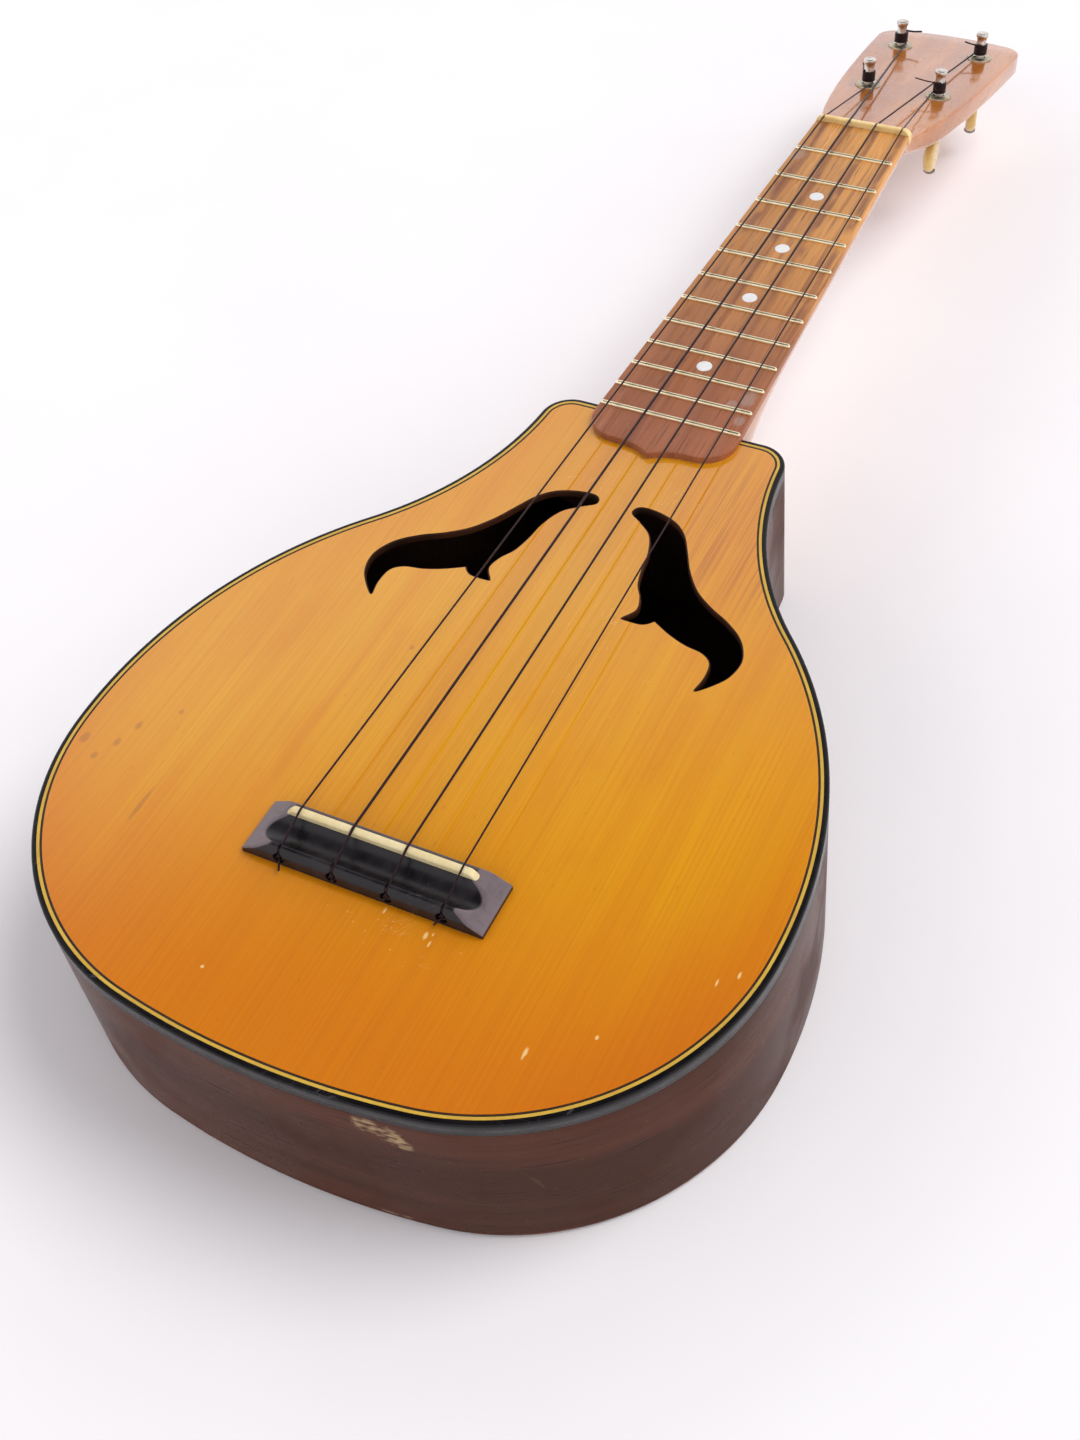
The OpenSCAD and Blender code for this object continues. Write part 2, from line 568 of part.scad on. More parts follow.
module peg_button(i) {
  color("#e6cf86") at_axis(i) rotate([0, 0, button_turn[i]]) difference() {
    union() {
      rotate_extrude($fn = 48)
        polygon([[0, button_n], [3.9, button_n], [3.9, button_n - 1.4], [3.1, button_n - 3.4],
          [2.7, button_n - stem_l + 1.5], [2.7, oval_n], [0, oval_n]]);
      for (k = [[1, 0.56], [0.93, 0.84], [0.84, 1]])
        translate([0, 0, oval_n]) rotate([90, 0, 0]) linear_extrude(button_t * k[1], center = true)
          polygon([for (a = [0:12:348]) k[0] * [button_w / 2 * cos(a), button_h / 2 * sin(a)]]);
    }
    translate([0, 0, stub_n - fit]) cylinder(r = barrel_r + fit, h = 20, $fn = 48);
    translate([0, 0, foot_n - 3]) cylinder(r = 1.3, h = stub_n - foot_n + 4, $fn = 32);
    translate([-button_w / 2, -button_t, foot_n - 5]) cube([button_w, 2 * button_t, 5]);
  }
}
module peg_screw(i) {
  color("#4a443c") at_axis(i) difference() {
    rotate_extrude($fn = 32)
      polygon([[0, stub_n + tap_l - 1], [1.2, stub_n + tap_l - 1], [1.2, foot_n], [2.2, foot_n],
        [2.2, foot_n - 0.7], [1.5, foot_n - 1.3], [0, foot_n - 1.4]]);
    translate([-3, -0.3, foot_n - 2]) cube([6, 0.6, 1.3]);
  }
}
module winding(i) {
  r = string_d[i] / 2;
  step = 1.94 * r;
  turns = floor((wind_h - 2 * r) / step);
  color("#1b1719") at_axis(i) {
    rotate_extrude($fn = 48) for (k = [0:turns]) translate([coil_r(i), wind_n + r + k * step]) circle(r = r, $fn = 16);
    rotate([0, 0, tail_turn[i]]) rod([coil_r(i) - 0.1, -0.2, wind_n + r + turns * step],
      [coil_r(i) + 0.3, -tail_l[i], wind_n + turns * step + 1.2], r * 0.94);
  }
}

soundboard();
back();
side(-1);  // side_bass
side(1);  // side_treble
neck_block();
tail_block();
lining(-1, under_z - lining_h);  // lining_top_bass
lining(1, under_z - lining_h);  // lining_top_treble
lining(-1, back_t);  // lining_back_bass
lining(1, back_t);  // lining_back_treble
brace(joint_y - 31.5, brace_h, true);  // top_brace_upper
brace(joint_y - 111, brace_h, true);  // top_brace_lower
brace(joint_y - 60, back_brace_h, false);  // back_brace_upper
brace(joint_y - 150, back_brace_h, false);  // back_brace_lower
bridge_plate();
binding();
purfling_cream();
purfling_dark();
neck();
fretboard();
position_dots();
fret(1);  // fret_01
fret(2);  // fret_02
fret(3);  // fret_03
fret(4);  // fret_04
fret(5);  // fret_05
fret(6);  // fret_06
fret(7);  // fret_07
fret(8);  // fret_08
fret(9);  // fret_09
fret(10);  // fret_10
fret(11);  // fret_11
fret(12);  // fret_12
nut();
saddle();
bridge();
string(0);  // string_1
string(1);  // string_2
string(2);  // string_3
string(3);  // string_4
peg_collars();
peg_washers();
peg_post(0);  // peg_post_1
peg_post(1);  // peg_post_2
peg_post(2);  // peg_post_3
peg_post(3);  // peg_post_4
peg_button(0);  // peg_button_1
peg_button(1);  // peg_button_2
peg_button(2);  // peg_button_3
peg_button(3);  // peg_button_4
peg_screw(0);  // peg_screw_1
peg_screw(1);  // peg_screw_2
peg_screw(2);  // peg_screw_3
peg_screw(3);  // peg_screw_4
winding(0);  // winding_1
winding(1);  // winding_2
winding(2);  // winding_3
winding(3);  // winding_4
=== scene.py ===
import json

import bmesh
import bpy
import numpy as np
from mathutils.geometry import delaunay_2d_cdt
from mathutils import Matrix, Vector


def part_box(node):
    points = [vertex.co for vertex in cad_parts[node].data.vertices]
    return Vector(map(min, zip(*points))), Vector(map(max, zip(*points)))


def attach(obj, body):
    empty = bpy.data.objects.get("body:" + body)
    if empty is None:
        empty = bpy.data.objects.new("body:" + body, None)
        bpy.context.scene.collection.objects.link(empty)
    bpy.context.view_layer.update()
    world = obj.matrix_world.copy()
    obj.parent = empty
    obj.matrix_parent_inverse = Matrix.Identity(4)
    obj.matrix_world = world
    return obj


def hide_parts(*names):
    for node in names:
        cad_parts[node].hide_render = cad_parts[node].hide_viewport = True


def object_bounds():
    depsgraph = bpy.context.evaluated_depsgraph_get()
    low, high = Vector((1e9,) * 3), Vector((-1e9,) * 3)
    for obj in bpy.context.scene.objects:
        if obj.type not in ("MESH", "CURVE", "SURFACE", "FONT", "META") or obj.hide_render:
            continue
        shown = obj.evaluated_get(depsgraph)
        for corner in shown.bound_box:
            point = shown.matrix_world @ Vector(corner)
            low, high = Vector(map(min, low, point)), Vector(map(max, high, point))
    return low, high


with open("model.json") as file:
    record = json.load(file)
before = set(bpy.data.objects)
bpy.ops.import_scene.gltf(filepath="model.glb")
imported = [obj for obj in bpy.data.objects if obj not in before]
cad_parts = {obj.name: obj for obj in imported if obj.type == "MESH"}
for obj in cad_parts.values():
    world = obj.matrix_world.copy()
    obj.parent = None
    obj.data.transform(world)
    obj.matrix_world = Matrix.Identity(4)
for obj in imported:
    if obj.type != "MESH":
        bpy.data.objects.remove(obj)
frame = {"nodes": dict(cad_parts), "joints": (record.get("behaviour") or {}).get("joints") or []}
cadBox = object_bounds()
joints = {joint["name"]: joint for joint in frame["joints"]}
mm = 0.001
print("frame loaded:", len(frame["nodes"]), "nodes")


def low(node):
    return np.array(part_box(node)[0])


def high(node):
    return np.array(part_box(node)[1])


topZ = high("soundboard")[2]
backBox = (low("back"), high("back"))
boardTop = high("fretboard")[2]
nutFront = low("nut")[1]


def newShape():
    return {"points": [], "faces": [], "flat": [], "finish": [], "place": [], "count": 0}


# Adds an array of points, with the place each has for its pattern, and returns the number of the first.
def addPoints(shape, points, place=None):
    points = np.asarray(points, float).reshape(-1, 3)
    start = shape["count"]
    shape["points"].append(points)
    shape["place"].append(points if place is None else np.asarray(place, float).reshape(-1, 3))
    shape["count"] += len(points)
    return start


def addFaces(shape, faces, flat=False, finish=0):
    shape["faces"] += [list(map(int, face)) for face in faces]
    shape["flat"] += [flat] * len(faces)
    shape["finish"] += [finish] * len(faces)


# A grid of rows and columns of points becomes quads; a closed direction joins its last line to its first.
def addGrid(shape, grid, closeRows=False, closeCols=False, finish=0, place=None):
    rows, cols = grid.shape[:2]
    index = addPoints(shape, grid, place) + np.arange(rows * cols).reshape(rows, cols)
    if closeRows:
        index = np.vstack((index, index[:1]))
    if closeCols:
        index = np.hstack((index, index[:, :1]))
    quads = np.stack((index[:-1, :-1], index[1:, :-1], index[1:, 1:], index[:-1, 1:]), -1)
    addFaces(shape, quads.reshape(-1, 4), finish=finish)
    return index


def addObject(name, data):
    made = bpy.data.objects.new(name, data)
    bpy.context.scene.collection.objects.link(made)
    return made


# Welds doubles, turns faces outward, keeps creases sharp past an angle, and puts the piece on its body.
def makePiece(name, shape, materials, body, replaced=(), crease=38):
    mesh = bpy.data.meshes.new(name)
    mesh.from_pydata(np.vstack(shape["points"]), [], shape["faces"])
    mesh.polygons.foreach_set("use_smooth", ~np.array(shape["flat"], bool))
    mesh.polygons.foreach_set("material_index", np.array(shape["finish"], np.int32))
    place = mesh.attributes.new("place", "FLOAT_VECTOR", "POINT")
    place.data.foreach_set("vector", np.vstack(shape["place"]).astype(np.float32).ravel())
    work = bmesh.new()
    work.from_mesh(mesh)
    bmesh.ops.remove_doubles(work, verts=work.verts, dist=2e-6)
    bmesh.ops.dissolve_degenerate(work, edges=work.edges, dist=1e-7)
    bmesh.ops.recalc_face_normals(work, faces=work.faces)
    work.to_mesh(mesh)
    work.free()
    smooth = np.empty(len(mesh.polygons), bool)
    mesh.polygons.foreach_get("use_smooth", smooth)
    mesh.set_sharp_from_angle(angle=np.radians(crease))
    mesh.polygons.foreach_set("use_smooth", smooth)
    piece = addObject(name, mesh)
    for material in materials:
        mesh.materials.append(material)
    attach(piece, body)
    if replaced:
        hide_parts(*replaced)
    return piece


# Outward normals of a closed loop, counter-clockwise round material and clockwise round a hole:
# the mean of the two edge normals, lengthened at corners so that an offset keeps its distance.
def loopNormals(loop):
    before = loop - np.roll(loop, 1, 0)
    after = np.roll(loop, -1, 0) - loop
    first = np.stack((before[:, 1], -before[:, 0]), 1) / np.linalg.norm(before, axis=1)[:, None]
    second = np.stack((after[:, 1], -after[:, 0]), 1) / np.linalg.norm(after, axis=1)[:, None]
    middle = first + second
    return middle / np.maximum((middle * middle).sum(1) / 2, 0.8)[:, None]


# Quarter-round from a face's edge down a wall: inset r (1 - sin a), height r (1 - cos a) below the face.
def roundEdge(radius, top, bottom, foot=0.0, steps=5):
    a = np.linspace(0, np.pi / 2, steps)
    rows = [np.stack((-radius * (1 - np.sin(a)), top - radius * (1 - np.cos(a))), 1)]
    if foot:
        rows.append(np.stack((-foot * (1 - np.cos(a)), bottom + foot * (1 - np.sin(a))), 1))
    else:
        rows.append([(0, bottom)])
    return np.vstack(rows)


# Carries a profile of (offset along the normal, height) round a loop: one row of points per profile point.
def sweepLoop(loop, normals, profile):
    flat = loop[None] + profile[:, 0, None, None] * normals[None]
    height = np.broadcast_to(profile[:, 1, None, None], flat.shape[:2] + (1,))
    return np.concatenate((flat, height), 2)


# Triangles between an outline and its holes, as indices into all their points in order: the constrained
# Delaunay triangles that belong to no hole.
def fillLoops(loops):
    starts = np.cumsum([0] + [len(loop) for loop in loops])
    rings = [list(range(a, b)) for a, b in zip(starts, starts[1:])]
    rings[1:] = [ring[::-1] for ring in rings[1:]]
    points = [Vector(point) for point in np.vstack(loops)]
    filled = delaunay_2d_cdt(points, [], rings, 1, 1e-9)
    return [[filled[3][corner][0] for corner in face] for face, owners in zip(filled[2], filled[5])
            if owners == [0]]


# A board with an outline and holes: each loop carries its edge profile, and both faces are filled flat.
def addPlate(shape, loops, profiles, holeFinish=0, underFinish=0, topFinish=0):
    tops, bottoms = [], []
    for number, (loop, profile) in enumerate(zip(loops, profiles)):
        grid = sweepLoop(loop, loopNormals(loop), profile)
        index = addGrid(shape, grid, closeCols=True, finish=holeFinish if number else 0)
        tops.append((index[0, :-1], grid[0]))
        bottoms.append((index[-1, :-1], grid[-1]))
    for rings, finish in ((tops, topFinish), (bottoms, underFinish)):
        ids = np.concatenate([ids for ids, ring in rings])
        addFaces(shape, ids[fillLoops([ring[:, :2] for ids_, ring in rings])], True, finish)


# A surface of revolution round a peg's axis: radius times (cos, sin) across, and the profile's height along.
def addLathe(shape, profile, place, count=48):
    profile = np.asarray(profile, float)
    a = np.linspace(0, 2 * np.pi, count, endpoint=False)
    ring = np.stack((np.cos(a), np.sin(a)), 1)
    grid = np.concatenate((profile[:, None, :1] * ring[None],
                           np.broadcast_to(profile[:, None, 1:], (len(profile), count, 1))), 2)
    addGrid(shape, place(grid * mm), closeCols=True)


# A round tube: at each path point a circle of the given radius, square to the path, on axes u and v,
# where u is the hint less its part along the path and v is across both. Both ends are rounded off.
def addTube(shape, path, radius, hint=(1, 0, 0), sides=12):
    path = np.asarray(path, float)
    radius = np.broadcast_to(np.asarray(radius, float), len(path))
    along = np.gradient(path, axis=0)
    along /= np.linalg.norm(along, axis=1)[:, None]
    hint = np.broadcast_to(np.asarray(hint, float), path.shape)
    u = hint - (hint * along).sum(1)[:, None] * along
    u /= np.linalg.norm(u, axis=1)[:, None]
    v = np.cross(along, u)
    cap = np.array([1.0, 0.9, 0.62, 0.0])
    start = path[0] - np.outer(np.array([0.0, 0.45, 0.8, 1.0])[::-1] * radius[0], along[0])
    end = path[-1] + np.outer(np.array([0.0, 0.45, 0.8, 1.0]) * radius[-1], along[-1])
    path = np.vstack((start, path, end))
    radius = np.concatenate((cap[::-1] * radius[0], radius, cap * radius[-1]))
    u = np.vstack((np.repeat(u[:1], 4, 0), u, np.repeat(u[-1:], 4, 0)))
    v = np.vstack((np.repeat(v[:1], 4, 0), v, np.repeat(v[-1:], 4, 0)))
    a = np.linspace(0, 2 * np.pi, sides, endpoint=False)[None, :, None]
    grid = path[:, None] + radius[:, None, None] * (np.cos(a) * u[:, None] + np.sin(a) * v[:, None])
    addGrid(shape, grid, closeCols=True)


# Catmull-Rom curve through points, steps between neighbours.
def smoothCurve(points, steps):
    p = np.asarray(points, float)
    p = np.vstack((p[:1], p, p[-1:]))
    t = np.arange(steps)[None, :, None] / steps
    a, b, c, d = (p[k:len(p) - 3 + k, None] for k in range(4))
    curve = 0.5 * (2 * b + (c - a) * t + (2 * a - 5 * b + 4 * c - d) * t**2 + (3 * b - a - 3 * c + d) * t**3)
    return curve.reshape(-1, p.shape[1])


# A path whose inner corners are rounded: each is a parabola between points a short way before and after it.
def roundCorners(path, reach, steps=6):
    path = np.asarray(path, float)
    rows = [path[:1]]
    t = np.linspace(0, 1, steps)[:, None]
    for before, corner, after in zip(path[:-2], path[1:-1], path[2:]):
        back, on = before - corner, after - corner
        a = corner + back * min(0.45, reach / np.linalg.norm(back))
        b = corner + on * min(0.45, reach / np.linalg.norm(on))
        rows.append((1 - t)**2 * a + 2 * t * (1 - t) * corner + t**2 * b)
    return np.vstack(rows + [path[-1:]])


def ease(t):
    t = np.clip(t, 0, 1)
    return t * t * (3 - 2 * t)


def fill(tree, socket, value):
    if isinstance(value, bpy.types.NodeSocket):
        tree.links.new(value, socket)
    else:
        socket.default_value = value


# Adds a node, sets its properties, and fills its inputs with numbers or links.
def addNode(tree, kind, inputs=None, **settings):
    made = tree.nodes.new("ShaderNode" + kind)
    for key, value in settings.items():
        setattr(made, key, value)
    for key, value in (inputs or {}).items():
        fill(tree, made.inputs[key], value)
    return made


def calc(tree, operation, a, b=0.0):
    return addNode(tree, "Math", {0: a, 1: b}, operation=operation).outputs[0]


def spread(tree, value, fromLow, fromHigh, toLow=0.0, toHigh=1.0):
    made = addNode(tree, "MapRange", {"Value": value, "From Min": fromLow, "From Max": fromHigh,
                                      "To Min": toLow, "To Max": toHigh}, interpolation_type="SMOOTHSTEP")
    return made.outputs["Result"]


def scaled(tree, vector, factors, shift=(0, 0, 0)):
    made = addNode(tree, "VectorMath", {0: vector, 1: factors, 2: shift}, operation="MULTIPLY_ADD")
    return made.outputs["Vector"]


def noise(tree, vector, scale, detail=2.0, roughness=0.5, distortion=0.0):
    made = addNode(tree, "TexNoise", {"Vector": vector, "Scale": scale, "Detail": detail,
                                      "Roughness": roughness, "Distortion": distortion})
    return made.outputs["Fac"]


# Noise drawn out by a factor along each axis.
def stretched(tree, vector, factors, *settings):
    return noise(tree, scaled(tree, vector, factors), 1.0, *settings)


# Mixes two colours; a colour given as numbers gets its fourth.
def tint(tree, amount, first, second):
    colours = [tone if isinstance(tone, bpy.types.NodeSocket) else (*tone, 1.0) for tone in (first, second)]
    made = addNode(tree, "Mix", data_type="RGBA")
    for number, value in zip((0, 6, 7), (amount, *colours)):
        fill(tree, made.inputs[number], value)
    return made.outputs[2]


# Lays a tone over a colour where a mask is, at so much strength.
def layer(tree, colour, tone, mask, strength):
    return tint(tree, calc(tree, "MULTIPLY", mask, strength), colour, tone)


def makeGroup(name, inputs, outputs, build):
    tree = bpy.data.node_groups.new(name, "ShaderNodeTree")
    for label, kind, value in inputs:
        socket = tree.interface.new_socket(label, in_out="INPUT", socket_type=kind)
        if value is not None:
            socket.default_value = value
    for label, kind in outputs:
        tree.interface.new_socket(label, in_out="OUTPUT", socket_type=kind)
    given = tree.nodes.new("NodeGroupInput")
    kept = tree.nodes.new("NodeGroupOutput")
    for label, socket in build(tree, given.outputs).items():
        tree.links.new(socket, kept.inputs[label])
    return tree


# Wood: broad colour bands, fine straight lines and short dark pores, all drawn out along Y.
def buildGrain(tree, given):
    across = addNode(tree, "CombineXYZ",
                     {0: given["Across"], 1: given["Along"], 2: given["Across"]}).outputs[0]
    warp = calc(tree, "MULTIPLY", noise(tree, scaled(tree, given["Vector"], (30, 6, 30)), 1.0), 0.006)
    bent = addNode(tree, "VectorMath", {0: given["Vector"],
                                        1: addNode(tree, "CombineXYZ",
                                                   {0: warp, 2: warp}).outputs[0]}).outputs[0]
    drawn = addNode(tree, "VectorMath", {0: bent, 1: across}, operation="MULTIPLY").outputs[0]
    broad = stretched(tree, drawn, (0.07, 0.35, 0.07), 3.0, 0.55)
    streaks = noise(tree, drawn, 1.0, 3.0, 0.6)
    rings = addNode(tree, "TexWave", {"Vector": scaled(tree, drawn, (0.16, 0.16, 0.16)), "Scale": 1.0,
                                      "Distortion": 1.2, "Detail": 2.0, "Detail Scale": 0.6},
                    wave_type="BANDS", bands_direction="X", wave_profile="SAW").outputs["Fac"]
    lines = calc(tree, "ADD", calc(tree, "MULTIPLY", spread(tree, streaks, 0.35, 0.68), 0.6),
                 calc(tree, "MULTIPLY", calc(tree, "POWER", rings, 3.0), 0.4))
    pores = spread(tree, stretched(tree, drawn, (2.2, 4.0, 2.2), 1.0, 0.4), 0.62, 0.72)
    return {"Broad": broad, "Lines": lines, "Pores": pores}


grainGroup = makeGroup("woodGrain",
                       [("Vector", "NodeSocketVector", None), ("Across", "NodeSocketFloat", 900.0),
                                     ("Along", "NodeSocketFloat", 14.0)],
                       [("Broad", "NodeSocketFloat"), ("Lines", "NodeSocketFloat"),
                        ("Pores", "NodeSocketFloat")],
                       buildGrain)


# Handling: hair-thin scratches where a noise crosses its middle, round specks, and cloudy smudges.
def buildWear(tree, given):
    vector = given["Vector"]
    sized = addNode(tree, "VectorMath", {0: vector, "Scale": given["Scale"]}, operation="SCALE").outputs[0]
    gate = spread(tree, stretched(tree, sized, (0.6, 0.6, 0.6), 2.0), 0.52, 0.64)
    marks = []
    for stretch, turn in (((3.0, 0.5, 3.0), 0.5), ((0.6, 2.6, 2.0), -0.35)):
        turned = addNode(tree, "VectorRotate", {"Vector": sized, "Angle": turn},
                         rotation_type="Z_AXIS").outputs[0]
        field = stretched(tree, turned, stretch, 1.0, 0.4, 0.4)
        off = calc(tree, "ABSOLUTE", calc(tree, "SUBTRACT", field, 0.5))
        marks.append(spread(tree, off, 0.0, 0.0045, 1.0, 0.0))
    scratches = calc(tree, "MULTIPLY", calc(tree, "MAXIMUM", *marks), gate)
    cells = addNode(tree, "TexVoronoi", {"Vector": scaled(tree, sized, (5.0, 3.0, 5.0)), "Scale": 1.0,
                                         "Randomness": 1.0})
    chosen = spread(tree, addNode(tree, "SeparateColor", {0: cells.outputs["Color"]}).outputs[0], 0.8, 0.82)
    specks = calc(tree, "MULTIPLY", spread(tree, cells.outputs["Distance"], 0.08, 0.17, 1.0, 0.0), chosen)
    smudge = spread(tree, stretched(tree, sized, (0.35, 0.35, 0.35), 4.0, 0.6), 0.4, 0.7)
    return {"Scratches": scratches, "Specks": specks, "Smudge": smudge}


wearGroup = makeGroup("handWear", [("Vector", "NodeSocketVector", None), ("Scale", "NodeSocketFloat", 100.0)],
                      [("Scratches", "NodeSocketFloat"), ("Specks", "NodeSocketFloat"),
                       ("Smudge", "NodeSocketFloat")], buildWear)


# One soft spot with a ragged rim: 1 at its centre, 0 past its size in each direction.
def buildSpot(tree, given):
    away = addNode(tree, "VectorMath", {0: given["Vector"], 1: given["Centre"]},
                   operation="SUBTRACT").outputs[0]
    share = addNode(tree, "VectorMath", {0: away, 1: given["Size"]}, operation="DIVIDE").outputs[0]
    reach = addNode(tree, "VectorMath", {0: share}, operation="LENGTH").outputs["Value"]
    ragged = calc(tree, "MULTIPLY",
                  calc(tree, "SUBTRACT", noise(tree, given["Vector"], 260.0, 5.0, 0.65), 0.5),
                  given["Ragged"])
    return {"Mask": spread(tree, calc(tree, "ADD", reach, ragged), 0.45, 1.0, 1.0, 0.0)}


spotGroup = makeGroup("softSpot",
                      [("Vector", "NodeSocketVector", None), ("Centre", "NodeSocketVector", (0, 0, 0)),
                                   ("Size", "NodeSocketVector", (0.01, 0.01, 0.01)),
                                   ("Ragged", "NodeSocketFloat", 0.5)],
                      [("Mask", "NodeSocketFloat")], buildSpot)


def placeGroup(tree, group, inputs):
    made = tree.nodes.new("ShaderNodeGroup")
    made.node_tree = group
    for key, value in inputs.items():
        fill(tree, made.inputs[key], value)
    return made.outputs


def spot(tree, vector, centre, size, ragged=0.5):
    return placeGroup(tree, spotGroup, {"Vector": vector, "Centre": np.multiply(centre, mm).tolist(),
                                        "Size": np.multiply(size, mm).tolist(), "Ragged": ragged})["Mask"]


# A material whose build function is given the tree and the pattern's place, and returns the shader's inputs.
def makeMaterial(name, build, attribute=None, bumpDistance=0.0002, bumpStrength=0.5, **fixed):
    material = bpy.data.materials.new(name)
    material.use_nodes = True
    tree = material.node_tree
    tree.nodes.clear()
    if attribute:
        vector = addNode(tree, "Attribute", attribute_name=attribute).outputs["Vector"]
    else:
        vector = addNode(tree, "TexCoord").outputs["Object"]
    surface = build(tree, vector)
    height = surface.pop("Height", None)
    shader = tree.nodes.new("ShaderNodeBsdfPrincipled")
    for key, value in {**fixed, **surface}.items():
        fill(tree, shader.inputs[key], value)
    if height is not None:
        bump = addNode(tree, "Bump", {"Height": height, "Distance": bumpDistance, "Strength": bumpStrength})
        tree.links.new(bump.outputs["Normal"], shader.inputs["Normal"])
    out = tree.nodes.new("ShaderNodeOutputMaterial")
    tree.links.new(shader.outputs[0], out.inputs[0])
    return material


print("shader groups ready")


spruceLook = {"tail": (0.64, 0.185, 0.0015), "middle": (0.74, 0.325, 0.002), "neckEnd": (0.69, 0.32, 0.008),
              "bassSide": (0.72, 0.335, 0.012), "line": (0.46, 0.13, 0.002), "rim": (0.60, 0.135, 0.001),
              "bruise": (0.20, 0.06, 0.035), "chip": (0.86, 0.62, 0.26), "roughness": 0.5,
              "lineSpacing": 1250.0}
bruises = [((-82, 10), (1.1, 2)), ((-84, 3), (1, 1.8)), ((-87, -3), (1.2, 1.6)), ((-93, 1), (1.6, 2.4)),
           ((-74, 18), (1, 1.2)), ((-66, -12), (0.8, 7)), ((-28, 61), (0.8, 1.2))]
# Chips and rubbed places: centre and reach in millimetres, and for the rubbed ones a strength.
chips = [((20.5, -18.5), (0.6, 1.4)), ((22.4, -20), (0.35, 1.1)), ((22, -17.4), (0.3, 0.8)),
         ((8, -16), (0.4, 1.4)),
         ((56, -37), (0.6, 1.7)),
         ((69, -27), (0.5, 0.7)), ((88, -4), (0.4, 1.6)), ((92, 0), (0.4, 1.2)), ((-24, -46), (0.6, 0.6))]
rubbed = [((12, 84), (16, 36), 0.9), ((38, 62), (22, 16), 0.6), ((0, 140), (34, 16), 0.8),
          ((14, -20), (30, 9), 0.7)]


def spruce(tree, vector):
    look = spruceLook
    wood = placeGroup(tree, grainGroup, {"Vector": vector, "Across": look["lineSpacing"], "Along": 7.0})
    wear = placeGroup(tree, wearGroup, {"Vector": vector, "Scale": 150.0})
    place = addNode(tree, "SeparateXYZ", {0: vector}).outputs
    colour = tint(tree, spread(tree, place[1], -0.055, 0.035), look["tail"], look["middle"])
    colour = tint(tree, spread(tree, place[1], 0.06, 0.165), colour, look["neckEnd"])
    side = calc(tree, "SUBTRACT", calc(tree, "MULTIPLY", place[1], 0.7), place[0])
    colour = tint(tree, spread(tree, side, 0.02, 0.11, 0.0, 0.85), colour, look["bassSide"])
    rim = addNode(tree, "VectorMath", {0: scaled(tree, vector, (1, 0.9, 0), (0.006, -0.014, 0))},
                  operation="LENGTH").outputs["Value"]
    nearTail = spread(tree, place[1], -0.03, 0.06, 1.0, 0.25)
    colour = layer(tree, colour, look["rim"], spread(tree, rim, 0.07, 0.104, 0.0, 0.8), nearTail)
    colour = tint(tree, spread(tree, wood["Broad"], 0.4, 0.66, 0.0, 0.3), colour, look["tail"])
    cloud = stretched(tree, vector, (70, 26, 70), 4.0, 0.6)
    colour = tint(tree, spread(tree, cloud, 0.48, 0.72, 0.0, 0.25), colour, look["tail"])
    colour = layer(tree, colour, look["line"], wood["Lines"], 0.22)
    shoulder = spot(tree, vector, (42, 136, 54), (30, 40, 30), 0.3)
    dense = spread(tree, stretched(tree, vector, (1900, 14, 1), 2.0), 0.44, 0.62)
    dense = calc(tree, "MULTIPLY", dense, calc(tree, "ADD", calc(tree, "MULTIPLY", shoulder, 0.42), 0.1))
    colour = tint(tree, dense, colour, (0.36, 0.085, 0.008))
    pits = spread(tree, stretched(tree, vector, (900, 260, 900), 1.0), 0.72, 0.78)
    colour = layer(tree, colour, look["line"], pits, 0.3)
    for centre, size in bruises:
        mask = spot(tree, vector, (*centre, 54.5), (*size, 20), 0.9)
        colour = layer(tree, colour, look["bruise"], mask, 0.35)
    worn = 0.06
    for centre, size, strength in rubbed:
        mask = spot(tree, vector, (*centre, 54.5), (*size, 30), 0.6)
        worn = calc(tree, "MAXIMUM", worn, calc(tree, "MULTIPLY", mask, strength))
    marks = calc(tree, "MULTIPLY",
                 calc(tree, "MAXIMUM", wear["Scratches"], calc(tree, "MULTIPLY", wear["Specks"], 0.8)),
                 worn)
    colour = layer(tree, colour, look["chip"], marks, 0.6)
    bare = None
    for centre, size in chips:
        mask = spot(tree, vector, (*centre, 54.5), (*size, 20), 1.8)
        bare = mask if bare is None else calc(tree, "MAXIMUM", bare, mask)
    colour = layer(tree, colour, look["chip"], bare, 0.75)
    rough = calc(tree, "ADD",
                 spread(tree, wear["Smudge"], 0.0, 1.0, look["roughness"], look["roughness"] + 0.1),
                 calc(tree, "MULTIPLY", marks, 0.3))
    ripple = stretched(tree, vector, (240, 60, 60), 2.0)
    height = calc(tree, "SUBTRACT", calc(tree, "MULTIPLY", ripple, 0.25),
                  calc(tree, "ADD", calc(tree, "MULTIPLY", wood["Lines"], 0.05),
                       calc(tree, "MULTIPLY", bare, 0.5)))
    gloss = calc(tree, "SUBTRACT", 1.0, calc(tree, "MAXIMUM", bare, calc(tree, "MULTIPLY", marks, 0.7)))
    return {"Base Color": colour, "Roughness": rough, "Height": height, "Coat Weight": gloss}


